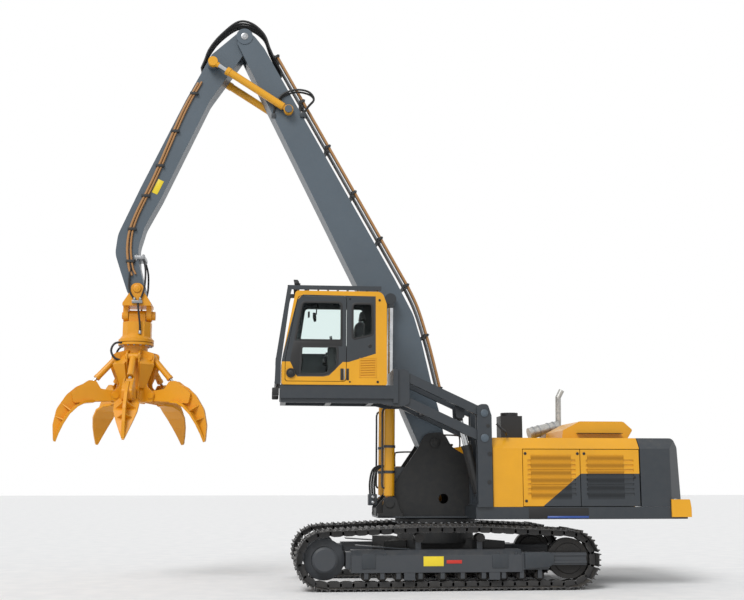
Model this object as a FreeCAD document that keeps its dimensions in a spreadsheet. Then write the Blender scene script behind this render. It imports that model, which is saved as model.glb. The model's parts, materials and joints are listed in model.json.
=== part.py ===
# Tracked material handler with a raised cab, a long boom and stick, and a five-tine grab.
# Millimetres, +Z up, +X to the machine's rear, -Y to its left (the cab's side).
# Sizes are written from the slew axis, and every piece is then moved by slew_x,
# which puts the origin on the ground in the middle of the machine's box.
import FreeCAD, Part
import math
import os
import Sketcher
from FreeCAD import Placement, Rotation, Vector

doc = FreeCAD.newDocument("material_handler")
sheet = doc.addObject("Spreadsheet::Sheet", "Sizes")


# Driving sizes
# name, millimetres or degrees or a count, what it is
SIZES = [
    ("slew_x", 1291, "slew axis, behind the middle of the machine's box"),
    ("gauge_half", 1295, "track centre line from the machine's middle"),
    ("shoe_width", 600, "width of a track shoe"),
    ("tumbler_front", -2010, "sprocket axis"),
    ("tumbler_rear", 2000, "idler axis"),
    ("tumbler_height", 490, "height of sprocket and idler axes"),
    ("pin_radius", 398, "chain pins round the sprocket"),
    ("tow_plate", 50, "thickness of a towing lug"),
    ("tow_hole", 32, "radius of the hole in a towing lug"),
    ("tow_x", 815, "hole of a towing lug from the slew axis"),
    ("tow_z", 560, "underside of a towing lug"),
    ("link_count", 52, "links in a track"),
    ("shoe_out", 62, "shoe plate's outer face from the pin line"),
    ("grouser_high", 30, "height of a grouser"),
    ("carrier_front", -475, "front carrier roller"),
    ("carrier_rear", 538, "rear carrier roller"),
    ("carrier_rise", 68, "how far the carrier rollers lift the chain"),
    ("rail_in", 52, "roller side of the chain rail from the pin line"),
    ("frame_low", 285, "bottom of a track frame"),
    ("frame_high", 640, "ridge of a track frame"),
    ("roller_radius", 82, "tread of a bottom roller"),
    ("ring_radius", 700, "slew ring outside"),
    ("ring_top", 1105, "top of the slew ring"),
    ("deck_low", 1120, "underside of the revolving frame"),
    ("deck_high", 1318, "top of the side beams"),
    ("half_width", 1420, "upper structure from the middle to its side"),
    ("tail_x", 4095, "rear end of the upper structure"),
    ("hood_front", 760, "front wall of the engine housing"),
    ("hood_rear", 3245, "rear end of the engine housing"),
    ("hood_high", 2455, "roof of the engine housing"),
    ("hood_crease", 2275, "lower edge of the roof's chamfer"),
    ("chamfer_in", 150, "how far the chamfer leans in"),
    ("panel", 45, "thickness of a housing panel"),
    ("plate_y", 350, "middle of a pedestal plate"),
    ("plate_thick", 50, "thickness of a pedestal plate"),
    ("foot_x", -50, "boom foot pin"),
    ("foot_z", 2400, "boom foot pin"),
    ("boom_half", 290, "half width of the boom"),
    ("head_x", -3480, "boom head pin"),
    ("head_z", 9775, "boom head pin"),
    ("stick_half", 205, "half width of the stick"),
    ("grab_x", -5262, "grab pin in the stick's end"),
    ("grab_z", 5065, "grab pin in the stick's end"),
    ("ram_y", 490, "boom cylinder from the middle"),
    ("ram_low_x", -865, "lower pin of the boom cylinders"),
    ("ram_low_z", 1372, "lower pin of the boom cylinders"),
    ("ram_high_x", -832, "upper pin of the boom cylinders"),
    ("ram_high_z", 4900, "upper pin of the boom cylinders"),
    ("ram_radius", 92, "barrel of a boom cylinder"),
    ("arm_ram_y", 375, "arm cylinder from the middle"),
    ("arm_ram_stick_x", -4037, "arm cylinder pin on the stick"),
    ("arm_ram_stick_z", 9236, "arm cylinder pin on the stick"),
    ("arm_ram_boom_x", -2663, "arm cylinder pin on the boom"),
    ("arm_ram_boom_z", 8367, "arm cylinder pin on the boom"),
    ("arm_ram_radius", 68, "barrel of an arm cylinder"),
    ("cab_front", -2735, "front of the cab's side wall"),
    ("cab_rear", -1005, "rear wall of the cab"),
    ("cab_low", 3292, "underside of the cab"),
    ("cab_high", 4850, "roof of the cab"),
    ("cab_left", -1540, "outer face of the cab door"),
    ("cab_right", -620, "inner side of the cab, next to the boom"),
    ("cab_wall", 55, "thickness of the cab's walls and door"),
    ("tray_low", 3000, "underside of the cab's carrying frame"),
    ("tray_front", -2760, "front of the cab's carrying frame"),
    ("arm_rear_x", 622, "rear pins of the cab's lifting arms"),
    ("arm_rear_low_z", 2440, "rear pin of the lower arm"),
    ("arm_rear_high_z", 2850, "rear pin of the upper arm"),
    ("arm_reach", 1340, "lifting arm, pin to pin, along the machine"),
    ("arm_climb", 620, "lifting arm, pin to pin, upwards"),
    ("arm_left_y", -1390, "left bar of a lifting arm"),
    ("arm_right_y", -740, "right bar of a lifting arm"),
    ("arm_thick", 90, "width of a bar of a lifting arm"),
    ("lift_low_x", 585, "lower pin of the cab's lifting cylinders"),
    ("lift_low_z", 1480, "lower pin of the cab's lifting cylinders"),
    ("lift_high_x", 262, "upper pin of the cab's lifting cylinders"),
    ("lift_high_z", 2835, "upper pin of the cab's lifting cylinders"),
    ("grab_axis_x", -5275, "axis of the grab"),
    ("swing_z", 4617, "cross pin between hanger and grab head"),
    ("head_low", 4135, "underside of the grab head"),
    ("hub_high", 3950, "where the grab hub's pods begin"),
    ("hub_wide", 420, "widest reach of the grab hub's pods"),
    ("hub_wide_z", 3730, "height where the pods are widest"),
    ("hub_low", 3090, "underside of the grab hub"),
    ("tine_count", 5, "tines of the grab"),
    ("tine_turn", 0, "turn of the first tine from straight left"),
    ("tine_pin_r", 350, "tine pivot from the grab's axis"),
    ("tine_pin_z", 3200, "height of the tine pivots"),
    ("tine_eye_r", 755, "cylinder eye on a tine from the grab's axis"),
    ("tine_eye_z", 3385, "height of the cylinder eye on a tine"),
    ("tine_ram_r", 330, "upper pin of a tine cylinder from the axis"),
    ("tine_ram_z", 3860, "height of a tine cylinder's upper pin"),
    ("tine_half", 84, "half width of a tine at its pivot"),
    ("side_gap", 6, "clearance beside an eye or a boss"),
    ("pin_gap", 0.05, "radial clearance of a running pin"),
]


# Hydraulic cylinders: barrel radius, rod radius, eye radius, half width of an eye, pin radius,
# mouth of the barrel from its pin, inner end of the rod from that pin, how far the rod can go in
BOOM_RAM = (92, 55, 100, 64, 45, 1950, 1350, 1175)
STICK_RAM = (68, 42, 86, 50, 40, 1330, 200, 65)
LIFT_RAM = (62, 34, 58, 40, 30, 880, 560, 405)
LIFT_RAM_Y = (-1160, -960)
TINE_RAM = (54, 27, 52, 56, 26, 500, 72, 32)
TINE_PIN = 38


class Size:
    """A number together with the sheet expression that gives it."""

    def __init__(self, value, text):
        self.value = float(value)
        self.text = text

    def join(self, other, sign, result):
        return Size(result, "({} {} {})".format(self.text, sign, words(other)))

    def __add__(self, other):
        return self.join(other, "+", self.value + number(other))

    def __sub__(self, other):
        return self.join(other, "-", self.value - number(other))

    def __mul__(self, other):
        return self.join(other, "*", self.value * number(other))

    def __truediv__(self, other):
        return self.join(other, "/", self.value / number(other))

    def __neg__(self):
        return Size(-self.value, "(0 - {})".format(self.text))

    def __float__(self):
        return self.value


def number(size):
    """The plain number of a size."""
    return size.value if isinstance(size, Size) else float(size)


def words(size):
    """The expression of a size."""
    return size.text if isinstance(size, Size) else repr(float(size))


for row, (alias, value, meaning) in enumerate(SIZES, start=1):
    sheet.set("A{}".format(row), meaning)
    sheet.set("B{}".format(row), str(value))
    sheet.setAlias("B{}".format(row), alias)
doc.recompute()
S = {alias: Size(value, "Sizes." + alias) for alias, value, meaning in SIZES}
N = {alias: float(value) for alias, value, meaning in SIZES}
subparts = []


def finish_part(piece, label):
    """Names a sub-part and moves it by slew_x."""
    piece.Label = label
    piece.setExpression("Placement.Base.x", "Sizes.slew_x")
    subparts.append(piece)
    return piece


def origin_plane(body, role):
    """One of a body's own origin planes."""
    for feature in body.Origin.OriginFeatures:
        if feature.Role == role:
            return feature
    raise ValueError(role)


def pin_point(sketch, index, point, u, v):
    """Holds a sketch point at its distances from the origin, bound to the sheet."""
    for kind, size in (("DistanceX", u), ("DistanceY", v)):
        rule = sketch.addConstraint(Sketcher.Constraint(kind, -1, 1, index, point, number(size)))
        if isinstance(size, Size):
            sketch.setExpression("Constraints[{}]".format(rule), size.text)


def draw_loop(sketch, points):
    """Draws a closed loop of straight lines."""
    first = sketch.GeometryCount
    count = len(points)
    for i in range(count):
        u0, v0 = points[i]
        u1, v1 = points[(i + 1) % count]
        sketch.addGeometry(Part.LineSegment(
            Vector(number(u0), number(v0), 0), Vector(number(u1), number(v1), 0)), False)
    for i in range(count):
        following = first + (i + 1) % count
        sketch.addConstraint(Sketcher.Constraint("Coincident", first + i, 2, following, 1))
    for i in range(count):
        pin_point(sketch, first + i, 1, *points[i])


def draw_circle(sketch, u, v, radius):
    """Draws a circle."""
    index = sketch.addGeometry(Part.Circle(
        Vector(number(u), number(v), 0), Vector(0, 0, 1), number(radius)), False)
    pin_point(sketch, index, 3, u, v)
    rule = sketch.addConstraint(Sketcher.Constraint("Radius", index, number(radius)))
    if isinstance(radius, Size):
        sketch.setExpression("Constraints[{}]".format(rule), radius.text)


def new_sketch(body, plane, start, loops, circles):
    """A sketch on a plane of the body's origin, moved along the plane's normal by start."""
    sketch = body.newObject("Sketcher::SketchObject", "Outline")
    sketch.AttachmentSupport = (origin_plane(body, plane + "_Plane"), [""])
    sketch.MapMode = "FlatFace"
    sketch.AttachmentOffset = Placement(Vector(0, 0, number(start)), Rotation())
    if isinstance(start, Size):
        sketch.setExpression("AttachmentOffset.Base.z", start.text)
    for points in loops:
        draw_loop(sketch, points)
    for u, v, radius in circles:
        draw_circle(sketch, u, v, radius)
    return sketch


def add_pad(body, plane, start, length, loops=(), circles=(), cut=False):
    """Pads an outline along the plane's normal, or cuts it away."""
    sketch = new_sketch(body, plane, start, loops, circles)
    pad = body.newObject("PartDesign::Pocket" if cut else "PartDesign::Pad", "Pocket" if cut else "Pad")
    pad.Profile = sketch
    pad.Length = number(length)
    if isinstance(length, Size):
        pad.setExpression("Length", length.text)
    if cut:
        pad.Reversed = True
    body.Tip = pad
    return pad


def new_body(label):
    """An empty body that becomes a sub-part."""
    return finish_part(doc.addObject("PartDesign::Body", "Body"), label)


def box_loop(u0, u1, v0, v1):
    """The four corners of a rectangle."""
    return [(u0, v0), (u1, v0), (u1, v1), (u0, v1)]


def keep(label, shape):
    """A sub-part whose shape is worked out with Part's own functions."""
    piece = doc.addObject("Part::Feature", "Shape")
    piece.Shape = Part.makeCompound(shape.Solids)
    return finish_part(piece, label)


# Shapes that the Part functions make

def corner_wire(corners, y):
    """A closed wire in the plane at y. A corner is x, z and the radius that rounds it."""
    edges = []
    ends = []
    count = len(corners)
    for i in range(count):
        here = Vector(corners[i][0], y, corners[i][1])
        radius = corners[i][2] if len(corners[i]) > 2 else 0
        before = Vector(corners[i - 1][0], y, corners[i - 1][1])
        after = Vector(corners[(i + 1) % count][0], y, corners[(i + 1) % count][1])
        to_before = (before - here).normalize()
        to_after = (after - here).normalize()
        if radius == 0:
            ends.append((here, here, None))
            continue
        half = to_before.getAngle(to_after) / 2
        reach = radius / math.tan(half)
        first = here + to_before * reach
        last = here + to_after * reach
        middle_way = (to_before + to_after).normalize()
        middle = here + middle_way * (radius / math.sin(half) - radius)
        ends.append((first, last, Part.Arc(first, middle, last).toShape()))
    for i in range(count):
        first, last, arc = ends[i]
        if arc:
            edges.append(arc)
        goal = ends[(i + 1) % count][0]
        if (goal - last).Length > 1e-6:
            edges.append(Part.LineSegment(last, goal).toShape())
    return Part.Wire(edges)


def slab(corners, y0, y1):
    """A plate between two planes across the machine."""
    return Part.Face(corner_wire(corners, y0)).extrude(Vector(0, y1 - y0, 0))


def rod_y(x, z, radius, y0, y1):
    """A round bar across the machine."""
    return Part.makeCylinder(radius, y1 - y0, Vector(x, y0, z), Vector(0, 1, 0))


def bar(start, end, radius, near=0, far=0):
    """A round bar between two points, cut back by near and far at its ends."""
    way = (end - start).normalize()
    return Part.makeCylinder(radius, (end - start).Length - near - far, start + way * near, way)


def block(x0, x1, y0, y1, z0, z1):
    """A plain block."""
    return Part.makeBox(x1 - x0, y1 - y0, z1 - z0, Vector(x0, y0, z0))


def fuse(shapes):
    """One solid out of several that touch."""
    return shapes[0].multiFuse(shapes[1:]).removeSplitter()


def revolve(profile, centre, axis):
    """Turns a profile of distance along the axis and radius round that axis."""
    points = [Vector(radius, 0, along) for along, radius in profile]
    face = Part.Face(Part.makePolygon(points + [points[0]]))
    solid = face.revolve(Vector(0, 0, 0), Vector(0, 0, 1), 360)
    solid.Placement = Placement(centre, Rotation(Vector(0, 0, 1), axis))
    return solid


# Undercarriage

def car_body():
    """The middle of the undercarriage: four box legs and the tower under the slew ring."""
    body = new_body("car_body")
    leg_in = 480
    leg_out = S["gauge_half"] - 230
    x_in, x_out = 560, 1010
    outline = []
    for sx, sy, order in ((-1, -1, 0), (1, -1, 1), (1, 1, 0), (-1, 1, 1)):
        inner = (sx * x_in, leg_in * sy)
        outer = [((x_out - 360) * sx, leg_out * sy), (x_out * sx, leg_out * sy)]
        waist = (sx * (x_in + 160), 0.55 * leg_in * sy)
        corner = [waist, outer[1], outer[0], inner]
        outline += corner if order == 0 else corner[::-1]
    add_pad(body, "XY", 430, 330, [outline])
    add_pad(body, "XY", 700, S["ring_top"] - 700 - 75, circles=[(0, 0, S["ring_radius"] - 40)])
    for side in (-1, 1):
        lug = [(side * x, y) for x, y in ((500, -190), (820, -90), (900, -50), (900, 50), (820, 90),
                                          (500, 190))]
        hole = (S["tow_x"] * side, 0, S["tow_hole"])
        add_pad(body, "XY", S["tow_z"], S["tow_plate"], loops=[lug], circles=[hole])
    return body


def slew_ring():
    """The ring that carries the upper structure."""
    ring = doc.addObject("Part::Cylinder", "Ring")
    ring.setExpression("Radius", "Sizes.ring_radius")
    ring.Height = 70
    hole = doc.addObject("Part::Cylinder", "RingHole")
    hole.setExpression("Radius", "Sizes.ring_radius - 130")
    hole.Height = 90
    hole.Placement.Base.z = -10
    cut = doc.addObject("Part::Cut", "RingCut")
    cut.Base = ring
    cut.Tool = hole
    cut.setExpression("Placement.Base.z", "Sizes.ring_top - 72")
    return finish_part(cut, "slew_ring")


ROLLER_PLACES = (-1340, -1080, -820, -463, -104, 223, 568, 897, 1194, 1493)


def track_frames():
    """Two box beams with a ridge on top, each with its guards and a fork for the idler."""
    names = (("track_frame_left", -1), ("track_frame_right", 1))
    # length from, length to, low z, high z, half width: the pieces of one frame
    blocks = [
        (-1580, 1200, "beam", 0, 0),
        (1190, 1640, 320, 590, 190),
        (-1665, -1560, 345, 610, 150),
    ]
    for label, side in names:
        middle = side * N["gauge_half"]
        low, high = N["frame_low"], N["frame_high"]
        # across, height: section of the beam
        section = [(-195, low), (195, low), (195, high - 85), (110, high), (-110, high), (-195, high - 85)]
        wire = Part.makePolygon([Vector(blocks[0][0], middle + y, z) for y, z in section + section[:1]])
        shapes = [Part.Face(wire).extrude(Vector(blocks[0][1] - blocks[0][0], 0, 0))]
        for x0, x1, z0, z1, half in blocks[1:]:
            shapes.append(block(x0, x1, middle - half, middle + half, z0, z1))
        # the fork that guides the idler, and its two outside ribs
        for y in (-165, 165):
            shapes.append(block(1600, 2270, middle + y - 22, middle + y + 22, 390, 590))
            for z in (420, 540):
                shapes.append(block(1620, 2270, middle + y * 1.14 - 18, middle + y * 1.14 + 18, z, z + 36))
        # the bracket that holds the drive, on the track's inner side
        inner = sorted((middle - side * 234, middle - side * 264))
        bracket = [(-1560, 350), (-1560, 605), (-1980, 605, 40), (-2190, 560, 60), (-2190, 420, 60),
                   (-1980, 375, 40)]
        shapes.append(slab(bracket, inner[0], inner[1]))
        reach = sorted((middle - side * 264, middle - side * 100))
        shapes.append(block(-1640, -1560, reach[0], reach[1], 350, 605))
        # brackets that hold the rollers' axles
        for x in ROLLER_PLACES:
            for y in (-165, 165):
                shapes.append(block(x - 34, x + 34, middle + y - 16, middle + y + 16, 185, 345))
        # track guides that hang beside the chain
        for x in (-640, 745):
            for y in (-178, 178):
                shapes.append(block(x - 90, x + 90, middle + y - 12, middle + y + 12, 165, low + 30))
        # saddles that carry the carrier rollers
        for x in (N["carrier_front"], N["carrier_rear"]):
            shapes.append(block(x - 45, x + 45, middle - 20, middle + 20, high - 10, 858))
        solid = fuse(shapes)
        tread_top = N["tumbler_height"] - N["pin_radius"] + N["rail_in"] + 2 * N["roller_radius"]
        keep(label, solid.cut(block(-1450, 1201, middle - 145, middle + 145, low - 1, tread_top + 15)))


def chain_path():
    """Places along the chain's pin line: a list of (x, z) and the direction there."""
    radius = N["pin_radius"]
    centre_z = N["tumbler_height"]
    front, rear = N["tumbler_front"], N["tumbler_rear"]
    top = centre_z + radius
    lift = top + N["carrier_rise"]
    path = [Vector(front, 0, centre_z - radius), Vector(rear, 0, centre_z - radius)]
    steps = 12
    for i in range(1, steps):
        angle = -math.pi / 2 + math.pi * i / steps
        path.append(Vector(rear + radius * math.cos(angle), 0, centre_z + radius * math.sin(angle)))
    path += [Vector(rear, 0, top), Vector(N["carrier_rear"], 0, lift)]
    path += [Vector(N["carrier_front"], 0, lift), Vector(front, 0, top)]
    for i in range(1, steps):
        angle = math.pi / 2 + math.pi * i / steps
        path.append(Vector(front + radius * math.cos(angle), 0, centre_z + radius * math.sin(angle)))
    return path


def along_path(path, distance):
    """The point at a distance along the closed path."""
    count = len(path)
    for i in range(count):
        start, end = path[i], path[(i + 1) % count]
        run = (end - start).Length
        if distance <= run:
            return start + (end - start) * (distance / run)
        distance -= run
    return path[0]


def tracks():
    """Each track is one loop: wide shoes with three grousers each, and two chain rails inside."""
    path = chain_path()
    length = sum((path[(i + 1) % len(path)] - path[i]).Length for i in range(len(path)))
    count = int(N["link_count"])
    pins = [along_path(path, length * i / count) for i in range(count)]
    out, tall, inner = N["shoe_out"], N["grouser_high"], N["rail_in"]
    # share of the link, height over the shoe plate: three grousers with flats between them
    shoe = [(0.03, 0), (0.10, 1), (0.18, 0), (0.42, 0), (0.50, 1), (0.58, 0), (0.81, 0), (0.88, 1), (0.96, 0)]
    rim, shoe_back, rail = [], [], []
    for i in range(count):
        here, there = pins[i], pins[(i + 1) % count]
        way = (there - here).normalize()
        outward = Vector(way.z, 0, -way.x)
        for share, height in shoe:
            rim.append(here + (there - here) * share + outward * (out + tall * height))
        shoe_back.append(here + outward * (out - 16))
        rail.append(here - outward * inner)
    print("track: {:.0f} mm round, {} links of {:.1f} mm".format(length, count, length / count))
    loops = [Part.makePolygon(points + points[:1]) for points in (rim, shoe_back, rail)]
    band = Part.makeFace([loops[0], loops[1]], "Part::FaceMakerBullseye")
    chain = Part.makeFace([loops[1], loops[2]], "Part::FaceMakerBullseye")
    for label, side in (("track_left", -1), ("track_right", 1)):
        middle = side * N["gauge_half"]
        half = N["shoe_width"] / 2
        shoes = band.copy()
        shoes.translate(Vector(0, middle - half, 0))
        shapes = [shoes.extrude(Vector(0, 2 * half, 0))]
        for y in (-105, 65):
            strand = chain.copy()
            strand.translate(Vector(0, middle + y, 0))
            shapes.append(strand.extrude(Vector(0, 40, 0)))
        keep(label, shapes[0].multiFuse(shapes[1:]))


def running_gear():
    """Sprockets with their drive hubs, idlers, and the rollers."""
    centre = N["tumbler_height"]
    sprockets, idlers, rollers = [], [], []
    for side in (-1, 1):
        middle = side * N["gauge_half"]
        # along the axle from the track's middle, radius: sprocket web and drive hub
        hub = [(-230, 0), (-230, 180), (-60, 200), (-28, 330), (28, 330), (60, 210), (236, 205), (262, 170),
               (262, 0)]
        if side < 0:
            hub = [(-along, radius) for along, radius in hub[::-1]]
        body = revolve(hub, Vector(N["tumbler_front"], middle, centre), Vector(0, 1, 0))
        sprockets.append(body)
        wheel = [(-141, 0), (-141, 45), (-80, 45), (-80, 240), (-62, 250), (-62, 330), (62, 330), (62, 250),
                 (80, 240), (80, 45), (141, 45), (141, 0)]
        idlers.append(revolve(wheel, Vector(N["tumbler_rear"], middle, centre), Vector(0, 1, 0)))
        tread = N["roller_radius"]
        bottom = centre - N["pin_radius"] + N["rail_in"] + tread + 2
        profile = [(-147, 0), (-147, 30), (-135, 30), (-135, tread - 14), (-121, tread), (121, tread),
                   (135, tread - 14), (135, 30), (147, 30), (147, 0)]
        for x in ROLLER_PLACES:
            rollers.append(revolve(profile, Vector(x, middle, bottom), Vector(0, 1, 0)))
        top = centre + N["pin_radius"] + N["carrier_rise"] - N["rail_in"] - 78
        for x in (N["carrier_front"], N["carrier_rear"]):
            for y in (-72, 72):
                rollers.append(rod_y(x, top, 72, middle + y - 50, middle + y + 50))
    keep("sprockets", Part.makeCompound(sprockets))
    keep("idlers", Part.makeCompound(idlers))
    keep("rollers", Part.makeCompound(rollers))


# Upper structure

def platform():
    """The revolving frame: belly plate, two long webs and the side beams."""
    body = new_body("platform")
    low, high, half = S["deck_low"], S["deck_high"], S["half_width"]
    tail = S["tail_x"]
    nose = -1060
    outline = [(nose, -520), (nose, 520), (-700, 760), (-700, half), (tail - 60, half), (tail - 60, -half),
               (470, -half), (470, -620), (-700, -620)]
    add_pad(body, "XY", low, 30, [outline])
    for y0, y1 in ((-half, -half + 90), (half - 90, half)):
        x0 = 470 if y0.value < 0 else -700
        add_pad(body, "XY", low, high - low, [box_loop(x0, tail - 60, y0, y1)])
    for y in (-350, 350):
        add_pad(body, "XY", low, high - low + 60, [box_loop(830, tail - 900, y - 25, y + 25)])
    for x in (470, 1900, 3140):
        add_pad(body, "XY", low, high - low, [box_loop(x, x + 60, -half, half)])
    return body


def boom_pedestal():
    """Two upright plates that hold the boom foot, with forks for the boom cylinders."""
    low = N["deck_low"] + 30
    # x, z, corner radius: outline of a plate
    plate = [(-1075, low, 0), (-1075, 1300, 60), (-900, 1500, 120), (-330, 2330, 60), (-215, 2560, 150),
             (110, 2590, 160), (250, 2330, 260), (440, 2215, 60), (640, 2190, 40), (640, low, 0)]
    foot_x, foot_z, thick, y = N["foot_x"], N["foot_z"], N["plate_thick"], N["plate_y"]
    ear = [(-972, low, 0), (-972, 1476, 84), (-758, 1476, 84), (-700, 1300, 60), (-640, low, 0)]
    shapes = []
    eye_half, ram_pin = BOOM_RAM[3:5]
    inside = N["ram_y"] + eye_half + 8
    for side in (-1, 1):
        ys = sorted((side * (y - thick / 2), side * (y + thick / 2)))
        shapes.append(slab(plate, ys[0], ys[1]))
        outer = sorted((side * inside, side * (inside + 40)))
        shapes.append(slab(ear, outer[0], outer[1]))
        reach = sorted((side * (y - thick / 2), side * (inside + 40)))
        shapes.append(block(-1060, -640, reach[0], reach[1], low, low + 45))
        shapes.append(rod_y(N["ram_low_x"], N["ram_low_z"], ram_pin, reach[0], reach[1]))
        spacer = sorted((side * (y + thick / 2 - 5), side * (N["ram_y"] - eye_half - 6)))
        shapes.append(rod_y(N["ram_low_x"], N["ram_low_z"], 80, spacer[0], spacer[1]))
        cap = sorted((side * (inside + 35), side * (inside + 62)))
        shapes.append(rod_y(N["ram_low_x"], N["ram_low_z"], 78, cap[0], cap[1]))
    shapes.append(block(-1060, -1010, -y, y, low, low + 130))
    shapes.append(block(300, 340, -y, y, low, 2050))
    shapes.append(slab([(-560, low), (-520, low), (300, 1900), (300, 1960)], -y, y))
    solid = fuse(shapes)
    solid = solid.cut(rod_y(foot_x, foot_z, 75 + N["pin_gap"], -600, 600))
    solid = solid.cut(rod_y(96, 1439, 85, -600, 600))
    # notch over the platform's cross beam
    solid = solid.cut(block(469, 531, -600, 600, low - 1, N["deck_high"] + 1))
    keep("boom_pedestal", solid)


def riser():
    """The frame behind the cab that carries the pins of its lifting arms."""
    low = N["deck_high"]
    x0, x1 = 500, 742
    arms = [N["arm_left_y"], N["arm_right_y"]]
    z_top = N["arm_rear_high_z"] + 150
    post = [(x0, low), (x0, z_top, 90), (x1 - 60, z_top, 60), (x1, z_top - 190, 40), (x1, low)]
    shapes = []
    gap = N["arm_thick"] / 2 + N["side_gap"]
    for y in arms:
        for side in (-1, 1):
            inner = y + side * gap
            outer = y + side * (gap + 32)
            shapes.append(slab(post, min(inner, outer), max(inner, outer)))
        shapes.append(block(x1 - 24, x1, y - gap, y + gap, low, z_top - 300))
        shapes.append(rod_y(N["arm_rear_x"], N["arm_rear_low_z"], 42, y - gap, y + gap))
        shapes.append(rod_y(N["arm_rear_x"], N["arm_rear_high_z"], 42, y - gap, y + gap))
    shapes.append(block(x1 - 24, x1, arms[0], arms[1], low, low + 520))
    shapes.append(block(x1 - 24, x1, arms[0], arms[1], 2080, 2250))
    shapes.append(block(x0 - 20, x1, arms[0] - 80, arms[1] + 80, low, low + 40))
    eye_half, ram_pin = LIFT_RAM[3:5]
    x, z = N["lift_low_x"], N["lift_low_z"]
    lug = [(x - 62, low), (x - 62, z + 62, 55), (x + 62, z + 62, 55), (x + 62, low)]
    for y in LIFT_RAM_Y:
        for side in (-1, 1):
            ys = sorted((y + side * (eye_half + 6), y + side * (eye_half + 26)))
            shapes.append(slab(lug, ys[0], ys[1]))
        shapes.append(rod_y(x, z, ram_pin, y - eye_half - 26, y + eye_half + 26))
    keep("riser", fuse(shapes))


def housing():
    """The engine housing's fixed panels: front, roof with its chamfers, and the sides above the doors."""
    x0, x1 = N["hood_front"], N["hood_rear"]
    low, high, crease = N["deck_high"] + 2, N["hood_high"], N["hood_crease"]
    half, lean, wall = N["half_width"], N["chamfer_in"], N["panel"]
    outer = [(-half, low), (-half, crease), (-half + lean, high), (half - lean, high), (half, crease),
             (half, low)]
    inner = [(-half + wall, low), (-half + wall, crease - 15), (-half + lean + 20, high - wall),
             (half - lean - 20, high - wall), (half - wall, crease - 15), (half - wall, low)]
    arch = outer + inner[::-1]
    wire = Part.makePolygon([Vector(x0, y, z) for y, z in arch + arch[:1]])
    shell = Part.Face(wire).extrude(Vector(x1 - x0, 0, 0))
    front = Part.makePolygon([Vector(x0, y, z) for y, z in outer + outer[:1]])
    shapes = [shell, Part.Face(front).extrude(Vector(wall, 0, 0))]
    solid = fuse(shapes)
    door_x, low_z, high_z = 1255, low, crease - 8
    for y in (-half - 10, half - wall - 20):
        solid = solid.cut(block(door_x, x1 + 1, y, y + wall + 30, low_z - 1, high_z))
    top_hole = block(2130, 3180, -850, 200, high - wall - 40, high + 20)
    keep("housing", solid.cut(top_hole))


def engine_doors():
    """Four doors of the engine bay, with louvres: two on each side."""
    low, high = N["deck_high"] + 12, N["hood_crease"] - 18
    wall, half = N["panel"], N["half_width"]
    louvre_pitch = 78
    # name, from x, to x, side, spans of louvres
    doors = [
        ("door_left_front", 1265, 2225, -1, [(1345, 2150)]),
        ("door_left_rear", 2237, 3235, -1, [(2330, 3140)]),
        ("door_right_front", 1265, 2225, 1, [(1345, 2150)]),
        ("door_right_rear", 2237, 3235, 1, [(2330, 3140)]),
    ]
    for label, x0, x1, side, spans in doors:
        y0 = -half if side < 0 else half - wall
        shape = block(x0, x1, y0, y0 + wall, low, high)
        for s0, s1 in spans:
            face = -half if side < 0 else half
            for row in range(8):
                z = low + 175 + row * louvre_pitch
                shape = shape.cut(block(s0, s1, face - 14, face + 14, z, z + 40))
        keep(label, shape)


def engine_bay():
    """Engine and pumps as one plain block."""
    high = N["deck_high"]
    keep("engine_block", block(1500, 2750, -420, 420, high + 62, high + 900))


def hood_lid():
    """The raised lid over the engine, with sloping ends and a round-edged top."""
    base, top = N["hood_high"] + 6, N["hood_high"] + 300
    # x, z, corner radius
    side = [(2075, base), (2095, base + 140, 20), (2390, top, 90), (3160, top, 90), (3320, base + 150, 30),
            (3225, base)]
    keep("hood_lid", slab(side, -900, 250))


def counterweight():
    """The heavy tail: upright sides, chamfered top edges and a rear face that leans and curves."""
    x0, x1 = N["hood_rear"] + 12, N["tail_x"]
    half, high = N["half_width"], N["hood_high"]
    low = N["deck_low"] + 35
    plan = [(x0, -half), (x1 - 330, -half, 60), (x1 - 15, -half + 300, 220), (x1 - 15, half - 300, 220),
            (x1 - 330, half, 60), (x0, half)]
    flat = corner_wire([(x, y, r[0] if r else 0) for x, y, *r in plan], 0)
    face = Part.Face(flat)
    face.rotate(Vector(0, 0, 0), Vector(1, 0, 0), -90)
    face.translate(Vector(0, 0, N["deck_high"] + 2))
    bulk = face.extrude(Vector(0, 0, high - N["deck_high"] - 2))
    # x, z, radius: side view of the counterweight
    side = [(x0, N["deck_high"] + 2), (x1 - 70, N["deck_high"] + 2), (x1 - 130, high - 150, 120),
            (x1 - 240, high, 60), (x0, high)]
    bulk = bulk.common(slab(side, -half, half))
    lean = N["chamfer_in"]
    crease = N["hood_crease"]
    arch = [(-half, low), (-half, crease), (-half + lean, high), (half - lean, high), (half, crease),
            (half, low)]
    wire = Part.makePolygon([Vector(x0, y, z) for y, z in arch + arch[:1]])
    bulk = bulk.common(Part.Face(wire).extrude(Vector(x1 - x0 + 100, 0, 0)))
    for y in (-700, 700):
        bulk = bulk.cut(Part.makeCylinder(21, 90, Vector(3560, y, high - 80)))
    keep("counterweight", bulk)
    corner = [(3757, 1150), (x1, 1150), (x1, 1300, 20), (x1 - 20, 1440, 20), (3757, 1440)]
    blocks = []
    for side in (-1, 1):
        ys = sorted((side * (half + 2), side * (half + 30)))
        blocks.append(slab(corner, ys[0], ys[1]))
    keep("tail_plates", Part.makeCompound(blocks))


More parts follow.
